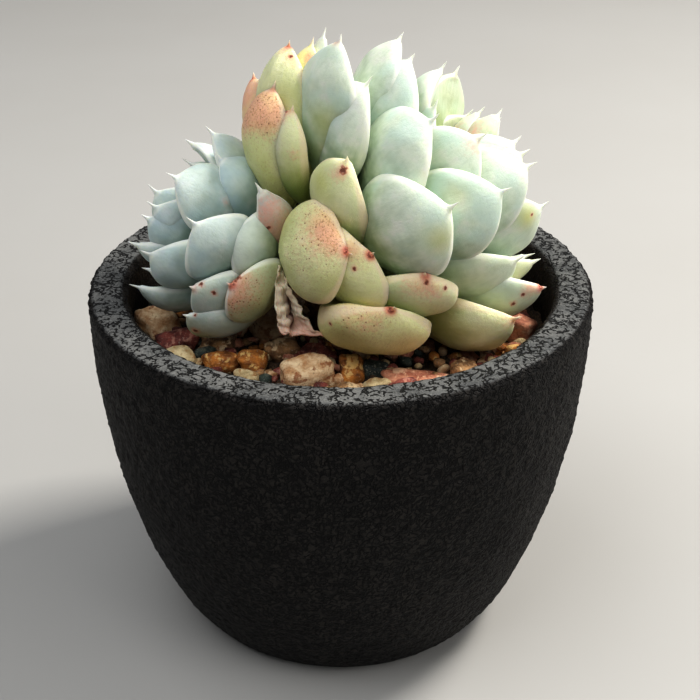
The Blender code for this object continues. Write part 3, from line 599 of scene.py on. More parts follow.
RIGHT_OLD = (
    Leaf(1, -17, 116, 27.5, 10, 0.10, 30, yellow=0.3, tip=0.9,
         patches=(blush(-90, 0.9, 9, 0.9), blush(-120, 0.6, 8, 0.7))),
    Leaf(-2, 5, 102, 26.5, 15, 0.12, 35, 2, yellow=0.65, freckle=0.9, tip=0.6,
         patches=(blush(-75, 0.9, 5.5, 0.95), blush(-60, 0.75, 4, 0.7), blush(-135, 0.8, 3.5, 0.6),
                  blush(-120, 0.92, 4, 0.7))),
    Leaf(1.5, -7, 100, 32, 16, 0.10, 35, yellow=0.4, freckle=0.1, tip=0.8, ridge=0.22,
         patches=(blush(-120, 1.0, 3.2, 0.7), blush(-165, 0.92, 2, 0.6), gold(-130, 0.7, 5, 0.6)),
         scars=(Scar(-142, 0.94, 0.5),)),
    Leaf(6.5, -9, 99, 32.5, 14, 0.10, 30, yellow=0.95, freckle=0.2,
         patches=(blush(-150, 0.94, 2.5, 0.9), green(-142, 0.78, 4, 0.8))),
    Leaf(3, 16, 106, 23.5, 12, 0.12, 35, yellow=0.5, freckle=0.5, tip=0.5, blunt=1.0,
         patches=(blush(-68, 0.96, 2.4, 0.8), blush(-142, 0.72, 2, 0.45), green(-110, 0.3, 6, 0.9)),
         scars=(Scar(-55, 0.985, 0.6),)),
    Leaf(19, 35, 101, 31.5, 17, 0.16, 30, 9, yellow=0.35, freckle=0.2, blunt=0.9,
         patches=(blush(-100, 0.95, 2.6, 0.5), gold(-75, 0.84, 4, 0.9), green(-110, 0.5, 8, 0.9)),
         scars=(Scar(-105, 0.98, 0.75),)),
    Leaf(4.5, 67, 83, 25, 22.5, 0.18, 5, 10, yellow=0.55, freckle=1.0, tip=1.0, blunt=0.6,
         patches=(blush(15, 0.93, 4.5, 0.6), blush(30, 0.98, 4.5, 0.6), blush(-20, 0.97, 5, 0.6),
                  blush(-45, 0.82, 6, 0.4), blush(-100, 0.75, 6, 0.2), gold(-150, 0.89, 5, 0.6))),
    Leaf(14.5, 67, 91, 25, 22, 0.18, 35, 11, yellow=0.7, freckle=0.5, tip=1.0, blunt=1.6,
         patches=(blush(0, 0.99, 4.0, 0.6), blush(-60, 0.95, 3.5, 0.3), green(-90, 0.4, 6, 0.5)),
         scars=(Scar(-90, 0.92, 0.4),)),
    Leaf(13, 75, 80, 27, 24, 0.18, 75, 19, yellow=0.8, freckle=0.8, tip=1.0, blunt=2.0,
         patches=(blush(60, 0.98, 3.5, 0.5), blush(-60, 0.92, 5, 0.42), blush(0, 0.9, 4, 0.35),
                  gold(-20, 0.8, 6, 0.4), green(-95, 0.6, 7, 0.6)),
         scars=(Scar(-20, 0.78, 0.4),)),
    Leaf(24, 75, 82, 26, 19, 0.18, 65, 14, yellow=0.4, freckle=0.4, tip=0.8, blunt=1.6,
         patches=(blush(-45, 0.99, 4, 0.6), blush(-120, 0.96, 4, 0.45), green(-45, 0.72, 6.5, 1.1)),
         scars=(Scar(-150, 0.94, 0.4), Scar(-100, 0.99, 0.5))),
    Leaf(27, 103, 49, 27.5, 19, 0.14, 15, 22, yellow=0.45, freckle=0.3, tip=0.6,
         patches=(blush(38, 0.98, 3.4, 0.6), green(-68, 0.5, 8, 0.8))),
)
LEFT_LEAVES = (
    Leaf(10, -31, 39, 20, 12),
    Leaf(6, -6, 58, 22, 14, 0.12, 10),
    Leaf(3, 12, 62, 19.5, 14, 0.12, 20, patches=(green(-90, 0.5, 6, 0.7),)),
    Leaf(14, -43, 26, 13.5, 12, yellow=0.25),
    Leaf(10, 39, 49, 21, 16, 0.14, 0, 1, freckle=0.3, patches=(blush(-90, 0.54, 1.5, 0.4),)),
    Leaf(17, 86, 29, 13.5, 12),
    Leaf(16, 85, 44, 15, 12),
    Leaf(14, 85, 38, 17, 13, 0.12, 10, 2),
    Leaf(10, 54, 72, 23, 18, 0.18, 25, 6, patches=(green(-90, 0.6, 6, 0.5),)),
    Leaf(2, 57, 79, 18.5, 16, 0.14, 10, 3, yellow=0.25),
    Leaf(13, 120, 39, 17.5, 13, 0.12, 10, 1),
    Leaf(10, 86, 48, 21, 16, 0.14, 20, 4),
    Leaf(5, 78, 69, 21.5, 15, 0.16, 30, 8, yellow=0.25, freckle=0.2, tip=0.5, blunt=0.8,
         scars=(Scar(-108, 0.88, 0.45), Scar(-165, 0.985, 0.5))),
    Leaf(9, 113, 34, 21.5, 14, 0.12, 30, 8),
    Leaf(3, 90, 58, 21.5, 14, 0.16, 40, 11, yellow=0.25, freckle=0.3, blunt=0.8,
         patches=(blush(-72, 0.9, 1.6, 0.6), gold(-45, 0.8, 3, 0.6)),
         scars=(Scar(-72, 0.9, 0.55), Scar(-153, 0.98, 0.3))),
    Leaf(2, 71, 83, 19.5, 17, 0.18, 25, 8, yellow=0.9, freckle=1.0, tip=1.0, blunt=0.8,
         patches=(blush(-108, 0.97, 5.5, 0.65), blush(-18, 0.96, 4.5, 0.5), gold(-90, 0.7, 5, 0.6),
                  green(-63, 0.6, 4.5, 0.6)),
         scars=(Scar(170, 0.985, 0.8),)),
    Leaf(-2, 31, 82, 22, 9, 0.14, 40, 3, yellow=0.1, freckle=0.3,
         patches=(blush(-60, 0.85, 8, 0.6), blush(-60, 0.5, 8, 0.6)), scars=(Scar(-54, 0.72, 0.5),)),
)
print(len(RIGHT_YOUNG + RIGHT_OLD + LEFT_LEAVES), "leaves by hand")

# %% [markdown]
# ### The side that faces away
# The photograph doesn't show the back. A rosette is much the same all round, so each leaf of the near side
# has one across the stem from it, a little shorter and less regular, and small leaves close in on each tip.

# %% Leaves of the far side, from below and at the tips
LEAF_SEED = 12
NEAR_FIRST = 15.0                # turns of the leaves that the far side repeats
NEAR_LAST = 135.0
FAR_NARROWEST = 12.5             # narrower ones are left out there
FAR_SHORTER = 0.82               # length and width of a far leaf over its near one's
FAR_NARROWER = 0.95
FAR_TURN = 9                     # how much its turn (degrees) and its place (mm) may differ
FAR_SHIFT = 2
FAR_LEAN = (0.9, 1.05)           # its lean and drop over its near one's
FAR_DROP = (0.8, 1.1)
BEND_UP = 0.95                   # one step of bending a far leaf up
LEAF_FLOOR = 78.0                # far leaves stay above this height, clear of the grit
ROOT_OUT = 0.22                  # how far out from the stem's middle a root sits, over the leaf's width
YOUNG_PLUMP = (1.0, 0.28)        # thickness of a leaf: so much, plus a share of its width (mm)
OLD_PLUMP = (2.0, 0.32)          # old leaves hold more water


def leaf_frame(stem, leaf):
    """Root point of a leaf, and its directions across it, along it and towards the stem."""
    ahead, above, front = stem.axes(leaf.along)
    turn, lean, roll = np.radians([leaf.turn, leaf.lean, leaf.roll])
    out = above * math.cos(turn) + front * math.sin(turn)
    root = stem.point(leaf.along) + out * ROOT_OUT * leaf.width - np.array([0.0, 0.0, leaf.drop])
    chord = ahead * math.cos(lean) + out * math.sin(lean)
    inward = ahead * math.sin(lean) - out * math.cos(lean)
    inward = inward * math.cos(roll) + stem.hand * np.cross(chord, inward) * math.sin(roll)
    return root, np.array([np.cross(chord, inward), chord, inward])


def leaf_sag(leaf, part):
    """How far a bowed leaf's middle line lies below its chord: a parabola of four times its bow."""
    return 4 * leaf.bow * leaf.length * part * (1 - part)


def lowest(stem, leaf):
    """Height of the lowest of a leaf's tip and belly, near enough to keep it off the grit."""
    root, (across, chord, inward) = leaf_frame(stem, leaf)
    part = np.linspace(0, 1, 9)
    below = leaf_sag(leaf, part) + 0.5 * (YOUNG_PLUMP[0] + YOUNG_PLUMP[1] * leaf.width)
    beside = 0.5 * leaf.width * abs(across[2]) * np.sin(np.pi * np.clip(part, 0.1, 0.95))
    return (root[2] + part * leaf.length * chord[2] - below * inward[2] - beside).min()


def far_side(stem, rows):
    """Each leaf of the near side again across the stem. One that would reach into the grit bends up."""
    draw = random.Random(LEAF_SEED)
    leaves = []
    for row in rows:
        if not NEAR_FIRST < row.turn < NEAR_LAST or row.width < FAR_NARROWEST:
            continue
        leaf = row._replace(turn=-row.turn + draw.uniform(-FAR_TURN, FAR_TURN),
                            along=row.along + draw.uniform(-FAR_SHIFT, FAR_SHIFT),
                            lean=row.lean * draw.uniform(*FAR_LEAN), length=row.length * FAR_SHORTER,
                            width=row.width * FAR_NARROWER, roll=-row.roll,
                            drop=row.drop * draw.uniform(*FAR_DROP), scars=(), blunt=0)
        while lowest(stem, leaf) < LEAF_FLOOR:
            leaf = leaf._replace(lean=leaf.lean * BEND_UP, drop=leaf.drop * BEND_UP)
        leaves.append(leaf)
    return leaves


def bud(along, count, length, width, drop):
    """The small leaves round a growing tip, closing in on it by the golden angle."""
    return [Leaf(along, i * GOLDEN_ANGLE, 24 - 4 * i, length - 0.8 * i, width - 0.8 * i, 0.10, 0, drop,
                 yellow=0.3, tip=0.3, patches=(blush(-90, 0.6, 4, 0.55),)) for i in range(count)]


RIGHT_FAR = far_side(RIGHT_STEM, RIGHT_YOUNG) + [
    Leaf(3, -30, 98, 23, 19, 0.12, -20), Leaf(11, -36, 88, 25, 21, 0.12, -15),
    Leaf(21, -36, 72, 25, 21, 0.12, -10), Leaf(29, 158, 34, 22, 16, drop=10),
    Leaf(32, 186, 28, 20, 15, drop=8), Leaf(29, 212, 34, 22, 16, drop=10),
    Leaf(37, 172, 18, 14, 12, drop=7)] + bud(40, 5, 12, 9, 6)
RIGHT_FAR_OLD = far_side(RIGHT_STEM, RIGHT_OLD)
LEFT_FAR = far_side(LEFT_STEM, LEFT_LEAVES) + [
    Leaf(11, 158, 36, 17, 14, drop=3), Leaf(11, 202, 36, 17, 14, drop=3)] + bud(18, 3, 9, 8, 1)
print(len(RIGHT_FAR + RIGHT_FAR_OLD + LEFT_FAR), "leaves by rule")

# %% [markdown]
# ### One leaf
# A leaf could be sculpted or subdivided from a box. Here it is a tube whose rings stand square to a bowed
# middle line, because a few formulas then fit every leaf. It is narrow at the root, widest past its middle,
# rounded at the end and drawn out to a soft spine. Its upper face is nearly flat, its lower one is deep with
# a faint keel, and its edges curl up a little.

# %% The surface of a leaf
SPINE_LENGTH = 2.6
SPINE_RADIUS = 0.42
SPINE_RINGS = 6
SPINE_FLARE = 2.1                # how much the spine widens where it leaves the blade, over its radius
SPINE_TAPER = 0.93               # share of its radius that the spine loses towards its end
BOXY = 0.92                      # power of the sine and cosine: below 1 a cross section is squarer
LEAF_CUP = 0.12                  # how far the leaf's edges curl up, over its half width
LEAF_UPPER = 0.26                # share of a leaf's thickness that lies above its edges
LEAF_KEEL = 0.07                 # depth of the keel over the thickness
LEAF_ROUGH = 0.16                # height of a leaf's unevenness (mm)
WIDEST = 0.62                    # where along a leaf it is widest and thickest
THICKEST = 0.5
ROOT_WIDTH = 0.36                # a leaf's width and thickness at its root over its full ones
ROOT_THICK = 0.62
NO_SCAR = Scar(0, 0, 0.01)


def swell(part, root, fullest, grow_power, end_power, end_round):
    """From root to 1 as a sine to a power, then down as one minus a power of the way to the end, rounded."""
    growth = root + (1 - root) * np.sin(0.5 * np.pi * np.clip(part / fullest, 0, 1)) ** grow_power
    return growth * (1 - np.clip((part - fullest) / (1 - fullest), 0, 1) ** end_power) ** end_round


def leaf_tube(stem, leaf, plump, number, rings, sides):
    """Rings of one leaf with its spine, its two poles, and the marks that paint it.

    Half width and thickness swell along the blade, each joined to the spine's radius as the sides of a right
    angle join (hypot), so that the end narrows smoothly into the spine.
    """
    draw = np.random.default_rng(number)
    blade = 1 - (1 - np.linspace(0, 1, rings)) ** 1.45
    part = np.concatenate([blade, np.ones(SPINE_RINGS)])[:, None]
    out = np.concatenate([np.zeros(rings), np.linspace(0, 1, SPINE_RINGS + 1)[1:] * 0.94])[:, None]
    near_end = rise(part, 0.6, 1.0)
    flare = SPINE_FLARE * np.where(out > 0, np.exp(-7.5 * out), rise(part, 0.9, 1.0))
    spine = SPINE_RADIUS * (1 - SPINE_TAPER * out ** 1.4)
    angle = np.arange(sides) * 2 * np.pi / sides
    side, up = np.cos(angle), np.sin(angle)

    def joined(blade_size, spine_size):
        return np.where(out > 0, spine_size, np.hypot(blade_size, spine_size * near_end))

    half_width = 0.5 * leaf.width
    thick = plump[0] + plump[1] * leaf.width
    depth = thick * swell(part, ROOT_THICK, THICKEST, 1, 2.4, 0.62)
    wide = half_width * swell(part, ROOT_WIDTH, WIDEST, 1.35, 2.1 + leaf.blunt, 0.66)
    half = joined(wide, spine * (1 + flare))
    over, under = (joined(share * depth, spine * (1 + 0.4 * flare)) for share in (LEAF_UPPER, 1 - LEAF_UPPER))
    boxy = BOXY - 0.14 * leaf.blunt
    x = half * np.sign(side) * np.abs(side) ** boxy
    up = np.sign(up) * np.abs(up) ** min(1.0, boxy + 0.08)
    keel = LEAF_KEEL * thick * np.exp(-(x / (0.16 * leaf.width)) ** 2)
    keel = keel * rise(part, 0.25, 0.8) * (1 - near_end ** 4)
    cup = LEAF_CUP * (1 - 0.75 * min(1.0, leaf.blunt))
    curl = cup * half_width * (x / half_width) ** 2 * np.sin(np.pi * part ** 0.8) * (out == 0)
    folds = leaf.ridge * np.sin(2.4 * x + 0.3) * rise(part, 0.1, 0.4) * (1 - near_end ** 3) * np.abs(up)
    lift = np.where(up > 0, over * up, under * up - keel * np.maximum(-up, 0) ** 2 + folds) + curl
    slope = np.arctan(-4 * leaf.bow * (1 - 2 * part))
    spine_length = SPINE_LENGTH * draw.uniform(0.95, 1.25)
    spine_length *= 1 - 0.45 * min(1.0, leaf.tip + 0.9 * leaf.blunt)
    swing = draw.uniform(-0.35, 0.35) * out ** 2 + draw.uniform(-0.02, 0.02) * leaf.length * part ** 2
    y = leaf.length * part + spine_length * out * np.cos(slope) - lift * np.sin(slope)
    z = lift * np.cos(slope) + spine_length * out * np.sin(slope) - leaf_sag(leaf, part)
    local = np.stack([x + swing, y, z], -1)
    rough = LEAF_ROUGH * lumps(local * [1, 0.6, 1], 7.0, number) * (1 - out) * rise(part, 0.0, 0.15)
    facing = np.stack([side, 0 * side, up], -1) * (0.3 + 0.7 * np.abs(up))[:, None]
    local = local + facing * rough[..., None]
    last = slope[-1, 0]
    tip = (swing[-1, 0], leaf.length + spine_length * math.cos(last), spine_length * math.sin(last))
    root, axes = leaf_frame(stem, leaf)

    def spot(turn, along):
        return local[np.abs(blade - along).argmin(), round(turn / 360 * sides) % sides]

    # The mark dark holds painted shade.
    marks = dict.fromkeys(("blush", "gold", "dark"), 0.0)
    for patch in leaf.patches:
        away = np.linalg.norm(local - spot(patch.turn, patch.along), axis=-1)
        marks[patch.mark] = marks[patch.mark] + patch.strength * np.exp(-(away / patch.reach) ** 2)
    one, two = (leaf.scars + (NO_SCAR, NO_SCAR))[:2]
    apart = np.array([0.0, 0.0, 31.0 * number])
    to_end = np.linalg.norm(local - [0.0, leaf.length, 0.0], axis=-1)
    marks.update(along=part + 0.15 * out, across=side[None], yellow=leaf.yellow, freckle=leaf.freckle,
                 spine=rise(out, 0.0, 0.5) + 0.5 * rise(part, 0.965, 1.0) * (out == 0),
                 red_tip=leaf.tip * np.exp(-(to_end / 1.35) ** 2), tint=draw.uniform(-1, 1),
                 leaf_place=local + apart, scar_size=(one.radius, two.radius, 0.0),
                 scar_one=spot(one.turn, one.along) + apart, scar_two=spot(two.turn, two.along) + apart)
    return root + local @ axes, (root + local[0].mean(0) @ axes, root + tip @ axes), marks


# %% [markdown]
# ### Leaf skin
# The skin is green under a white wax that makes it pale and matt. The wax is thickest towards the end of a
# leaf, thin at its root, and shimmers faintly blue and lavender. Old leaves turn yellow-green, blush peach
# and pink where the sun reaches them, and carry rust-coloured freckles and scabs. Edges and spines are
# nearly white. A painted image would fit one leaf only, so the coats are noises and marks that any leaf can
# use, in one group that each finish gives its own tones.

# %% Wax, yellowing and shade
SKIN_TONES = ("Bloom", "Green", "Cool", "Yellow", "Blush", "Tip")

skin, wires, given = new_group("leaf_skin", dict.fromkeys(SKIN_TONES, COLOUR), FINISH_SOCKETS)
local = wires.mark("leaf_place", "Vector")
along = wires.mark("along")
fine = wires.noise(local, 1.3, 4.0)
broad = wires.noise(local, 0.22, 2.0)
cloud = wires.noise(wires.moved(local, (7.0, 3.0, 5.0)), 0.11, 2.0)
streaks = wires.noise(wires.stretched(local, (1.6, 0.22, 1.0)), 0.9)
wax = wires.times(wires.step(wires.plus(along, wires.times(broad, 0.6)), 0.5, 1.3, 0.08, 1.0),
                  wires.step(streaks, 0.2, 0.6, 0.88, 1.0))
cool = wires.plus(cloud, wires.times(wires.mark("tint"), 0.08))
base = wires.coats(
    given["Green"],
    (wax, given["Bloom"]),
    (wires.step(cool, 0.42, 0.66, 0.0, 0.6), given["Cool"]),
    (wires.step(broad, 0.55, 0.72, 0.0, 0.25), colour(230, 220, 222)),
    (wires.times(wires.mark("yellow"), wires.step(along, 0.2, 0.9, 1.0, 0.75)), given["Yellow"]),
    (wires.times(wires.mark("gold"), 0.8, clamp=True), colour(196, 196, 116)),
    # Painted shade: the mark dark lays the root green over the lower, outer faces.
    (wires.times(wires.mark("dark"), 0.85, clamp=True), given["Green"]))

# %% Blush, freckles and pale edges
blushing, red = wires.mark("blush"), wires.mark("red_tip")
uneven = wires.plus(wires.times(wires.minus(fine, 0.5), 0.8), wires.times(wires.minus(broad, 0.5), 0.5))
flush = wires.times(wires.step(wires.plus(blushing, uneven), 0.12, 1.0, 0.0, 0.72),
                    wires.step(blushing, 0.0, 0.2))
peach = wires.coats(given["Blush"], (wires.step(cloud, 0.4, 0.6), colour(238, 166, 142)))
spotted = wires.times(wires.mark("freckle"), wires.plus(0.25, wires.times(blushing, 0.75)), clamp=True)
tan = wires.times(wires.step(wires.noise(local, 2.1), 0.5, 0.68), spotted)
scratched = wires.noise(wires.stretched(local, (1.0, 0.35, 1.0)), 3.4, 2.0)
scratches = wires.times(wires.step(scratched, 0.6, 0.68), spotted)
dots = wires.plus(wires.cells(local, 0.95), wires.times(fine, 0.22))
dot_size = wires.times(wires.step(wires.plus(spotted, broad), 0.55, 1.1), 0.3)
freckles = wires.times(wires.step(dots, wires.times(dot_size, 0.7), wires.plus(dot_size, 0.04), 1.0, 0.0),
                       wires.step(spotted, 0.1, 0.3))
edge = wires.times(wires.step(wires.math("ABSOLUTE", wires.mark("across")), 0.9, 1.0),
                   wires.step(along, 0.3, 0.7, 0.0, 0.7))
tip_scab = wires.times(wires.step(red, 0.55, 0.85), wires.step(fine, 0.42, 0.56))
base = wires.coats(
    base,
    (flush, peach),
    (wires.times(tan, 0.55), colour(186, 134, 84)),
    (wires.times(scratches, 0.7), colour(158, 104, 72)),
    (wires.times(freckles, 0.75), colour(146, 86, 54)),
    (edge, given["Tip"]),
    (wires.times(wires.mark("spine"), 0.85), given["Tip"]),
    (wires.step(red, 0.05, 0.8, 0.0, 0.85), colour(214, 112, 92)),
    (wires.times(tip_scab, 0.85), colour(112, 60, 44)))


# %% Scars and the skin's relief
def scar_masks(name, size):
    """Masks of a scar: the scab within its radius, its red rim and its wide halo, all with a ragged edge."""
    away = wires.node("VectorMath", {"operation": "DISTANCE"}, local, wires.mark(name, "Vector"))["Value"]
    away = wires.plus(away, wires.times(wires.minus(fine, 0.5), wires.times(size, 3.2)))
    return [wires.step(away, wires.times(size, near), wires.times(size, far), 1.0, 0.0)
            for near, far in ((0.4, 0.9), (0.8, 1.4), (1.0, 2.8))]


sizes = wires.node("SeparateXYZ", {}, wires.mark("scar_size", "Vector"))
scars = zip(scar_masks("scar_one", sizes["X"]), scar_masks("scar_two", sizes["Y"]))
scab, rim, halo = (wires.math("MAXIMUM", one, two) for one, two in scars)
base = wires.coats(base, (wires.times(halo, 0.4), colour(228, 170, 142)),
                   (wires.times(rim, 0.75), colour(184, 104, 80)),
                   (wires.times(scab, 0.85), colour(110, 58, 40)))
height = wires.plus(wires.times(wires.noise(local, 4.0), 0.7), wires.times(streaks, 1.1))
for field, share in ((fine, 0.9), (freckles, -0.4), (scab, -1.5)):
    height = wires.plus(height, wires.times(field, share))
wires.give(Color=base, Height=height,
           Roughness=wires.step(wires.plus(fine, wires.times(wax, 0.4)), 0.4, 1.1, 0.46, 0.66))


# %% Leaf finishes
def leaf_finish(name, depth, glow, *tones):
    """A matt waxy skin in its own tones. Glow: share of light scattered in the flesh. Depth: relief (mm)."""
    made, wires = new_material(name, Subsurface_Weight=glow, Subsurface_Scale=0.003,
                               Subsurface_Radius=(1.0, 1.0, 0.5), Specular_IOR_Level=0.35,
                               Sheen_Weight=0.06, Sheen_Roughness=0.45)
    out = wires.group(skin, **{tone: colour(*value) for tone, value in zip(SKIN_TONES, tones)})
    wires.give(Base_Color=out["Color"], Roughness=out["Roughness"],
               Normal=wires.bump(out["Height"], depth * MM, 0.7))
    return made


pale_leaf = leaf_finish("pale_leaf", 0.11, 0.2, (231, 239, 222), (110, 144, 104), (203, 225, 214),
                        (224, 225, 164), (238, 184, 158), (250, 250, 236))
old_leaf = leaf_finish("old_leaf", 0.2, 0.4, (243, 244, 216), (122, 150, 78), (224, 234, 200),
                       (236, 234, 156), (240, 194, 150), (248, 228, 198))
blue_leaf = leaf_finish("blue_leaf", 0.11, 0.2, (216, 228, 222), (106, 138, 116), (178, 202, 206),
                        (206, 210, 152), (230, 172, 152), (248, 249, 238))

# %% Grow the two heads
FAR_GRID = (26, 26)              # rings and sides of a leaf that faces away
leaf_points = []


def grow(name, stem, near, far, plump, grid, seeds, finish, head):
    """One mesh of the leaves near and far. Seeds: the number of the first near leaf and the first far one."""
    batch = Batch()
    halves = ((near, plump, grid, seeds[0]), (far, YOUNG_PLUMP, FAR_GRID, seeds[1]))
    for rows, thickness, (rings, sides), first in halves:
        for number, leaf in enumerate(rows, first):
            points, poles, marks = leaf_tube(stem, leaf, thickness, number, rings, sides)
            batch.add(points, poles, **marks)
            leaf_points.append(points.reshape(-1, 3))
    batch.piece(name, [finish], head)


grow("leaves_right_young", RIGHT_STEM, RIGHT_YOUNG, RIGHT_FAR, YOUNG_PLUMP, (44, 40), (0, 40),
     pale_leaf, "head_right")
grow("leaves_right_old", RIGHT_STEM, RIGHT_OLD, RIGHT_FAR_OLD, OLD_PLUMP, (52, 48), (100, 120),
     old_leaf, "head_right")
grow("leaves_left", LEFT_STEM, LEFT_LEAVES, LEFT_FAR, YOUNG_PLUMP, (44, 40), (200, 240),
     blue_leaf, "head_left")

# %% [markdown]
# ## The woody stem
# Under the heads the plant stands on a short brown stem that forks to each side. The stem goes on inside
# both heads, where the leaves are fixed to it. Its bark is dry and ringed with the scars of lost leaves. A
# bevelled curve would make the pipe, but not the ledges round it, so it is a profile carried along a path.

# %% The stem
STEM_FOOT = 44.3


def bark(path, radii, seed, rings=90, sides=56):
    """Rings square to a smoothed path, whose radius runs through the given ones, with leaf scars and cracks.

    A scar is a low ledge: the third power of a sine along the path, bent by lumps. Cracks are long lumps.
    """
    path = np.array(path, float)
    given_at = np.concatenate([[0], np.cumsum(np.linalg.norm(np.diff(path, axis=0), axis=1))])
    at = np.linspace(0, given_at[-1], rings)
    middle = np.stack([np.interp(at, given_at, path[:, k]) for k in range(3)], -1)
    padded = np.pad(middle, ((3, 3), (0, 0)), "edge")
    middle = np.stack([np.convolve(padded[:, k], np.ones(7) / 7, "valid") for k in range(3)], -1)
    ahead = np.gradient(middle, axis=0)
    ahead /= np.linalg.norm(ahead, axis=1, keepdims=True)
    side = np.cross(ahead, [0.0, 1.0, 0.15])
    side /= np.linalg.norm(side, axis=1, keepdims=True)
    other = np.cross(ahead, side)
    angle = (np.arange(sides) * 2 * np.pi / sides)[:, None]
    out = np.cos(angle) * side[:, None] + np.sin(angle) * other[:, None]
    radius = np.interp(at, given_at, radii)[:, None]
    points = middle[:, None] + out * radius[..., None]
    ledge = 0.35 * np.abs(np.sin(at[:, None] * 0.9 + 1.6 * lumps(points, 8.0, seed))) ** 3
    crack = 0.25 * lumps(points * [1, 1, 0.3], 1.4, seed + 1)
    return middle[:, None] + out * (radius + ledge + crack)[..., None]


trunk = [(0, 0, STEM_FOOT), (0, 0, 62), (-0.5, 0, 76), (-2, 0.5, 86), (-6, 1, 95)]
branch = [(-1, 0, 74), (-6, 0, 84)]
to_right = trunk + [RIGHT_STEM.point(a) for a in (4, 14, 26, 36)]
to_left = branch + [LEFT_STEM.point(a) for a in (0, 6, 12)]
stem_batch = Batch()
for path, radii, seed in ((to_right, [5.2, 5.2, 5.2, 5.0, 4.8, 4.6, 4.4, 3.6, 2.0], 300),
                          (to_left, [4.4, 4.2, 4.0, 3.2, 1.8], 310)):
    rings = bark(path, radii, seed)
    stem_batch.add(rings, (rings[0].mean(0), rings[-1].mean(0)))

stem_finish, wires = new_material("stem_finish", Roughness=0.9)
place = wires.place()
wood = wires.group(mottle, Vector=place, Scale=420.0, Dark=colour(70, 48, 32), Light=colour(146, 112, 80))
fibres = wires.noise(wires.stretched(place, (1.0, 1.0, 0.2)), 1600.0, 4.0)
dark_fibres = wires.step(fibres, 0.4, 0.6, 0.0, 0.6)
wires.give(Base_Color=wires.coats(wood["Color"], (dark_fibres, colour(52, 36, 26))),
           Normal=wires.bump(fibres, 0.0004, 0.8))
stem_batch.piece("bark", [stem_finish], "stem")

# %% [markdown]
# ## Stones
# The soil is covered with river grit: worn stones of many rocks, maroon, ochre, cream, grey-green and brown.
# The ones that the photograph shows are listed, the rest lie by the golden angle and in a ring along the
# wall.
# A stone could be a subdivided box, but then all look alike: here it is the space inside a box that is cut by
# random planes, with its corners softened, then dented by smooth noise.

# %% Where the stones lie
STONE_COUNT = 46
RING_COUNT = 26
STONE_SEED = 11
STONE_LONG = (11, 13.5)          # lengths of the stones laid by rule, and of those along the wall (mm)
RING_LONG = (10, 12)
STONE_WIDE = (0.8, 0.95)         # their widths and heights over their lengths
STONE_TALL = (0.42, 0.54)
STONE_REACH = 0.45               # half a stone's length, a little less for its round ends
STONE_NUDGE = 2.5                # how far a stone laid by rule may run into one that is listed
STONE_SINK = 0.42                # how much of a stone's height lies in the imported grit
STEM_HOLE_RADIUS = 6.0
HOLE_MARGIN = 4.5                # room between the stem's hole and the first stones' middles
WALL_MARGIN = 9.0                # the same at the pot's wall
GAP = 0.3                        # clearance between neighbouring pieces

MAROON, DARK_GREEN, OCHRE, TAN, CREAM, BEIGE, PINK = range(7)
Stone = namedtuple("Stone", "x y long wide tall turn rock")
STONES_BY_HAND = (
    Stone(-37.5, -9.5, 10, 8, 6, 20, MAROON),
    Stone(-30.5, -16, 6, 5, 5, 60, DARK_GREEN),
    Stone(-26, -20, 9, 6, 6, 10, OCHRE),
    Stone(-19.5, -20, 7, 7, 6, 80, OCHRE),
    Stone(-20.5, -26.5, 6, 5, 4, 0, CREAM),
    Stone(-6.5, -26, 13, 9, 8, 15, BEIGE),
    Stone(2.5, -23, 7, 9, 7, 10, OCHRE),
    Stone(17.5, -26, 16, 9, 7, -5, PINK),
    Stone(7.5, -30, 6, 5, 4, 30, CREAM),
    Stone(8, -22, 6, 6, 5, 0, DARK_GREEN),
    Stone(34, -18.5, 9, 8, 6, 40, BEIGE),
    Stone(41.5, -4, 9, 8, 7, 70, PINK),
    Stone(-13.5, -14, 9, 7, 5, 10, TAN),
    Stone(-5, -15.5, 8, 7, 5, -20, MAROON),
    Stone(27, -24, 7, 6, 5, 0, TAN),
)
bed_wall = inner_radius(SOIL_TOP) - GAP


def stones_by_rule(draw):
    """Stones spread evenly by the golden angle, then a ring along the wall, where none is listed."""
    first, last = STEM_HOLE_RADIUS + HOLE_MARGIN, bed_wall - WALL_MARGIN
    stones = []
    for i in range(STONE_COUNT + RING_COUNT):
        if i < STONE_COUNT:
            away = math.sqrt(first ** 2 + (last ** 2 - first ** 2) * (i + 0.5) / STONE_COUNT)
            angle = math.radians(i * GOLDEN_ANGLE)
            long = draw.uniform(*STONE_LONG)
        else:
            angle = math.tau * (i + draw.uniform(-0.2, 0.2)) / RING_COUNT
            long = draw.uniform(*RING_LONG)
            away = bed_wall - 0.5 * long
        stone = Stone(away * math.cos(angle), away * math.sin(angle), long, long * draw.uniform(*STONE_WIDE),
                      long * draw.uniform(*STONE_TALL), draw.uniform(0, 180), (3 * i + i // 5) % 7)
        room = [math.hypot(stone.x - s.x, stone.y - s.y) - STONE_REACH * (s.long + long)
                for s in STONES_BY_HAND]
        if min(room) > -STONE_NUDGE:
            stones.append(stone)
    return stones


all_leaf_points = np.concatenate(leaf_points)


def ceiling_over(stone, reach):
    """Height of the lowest leaf above a stone."""
    close = np.hypot(all_leaf_points[:, 0] - stone.x, all_leaf_points[:, 1] - stone.y) < reach
    return all_leaf_points[close, 2].min() if close.any() else POT_HEIGHT


# %% The shape of a stone
STONE_PLANES = 15
STONE_EDGE = 9.0                 # how sharp a stone's corners are
STONE_TILT = 12.0                # a stone's greatest tilt (degrees)


def turn_pair(first, second, degrees):
    """Two coordinates turned in their plane."""
    turn = math.radians(degrees)
    return first * math.cos(turn) - second * math.sin(turn), first * math.sin(turn) + second * math.cos(turn)


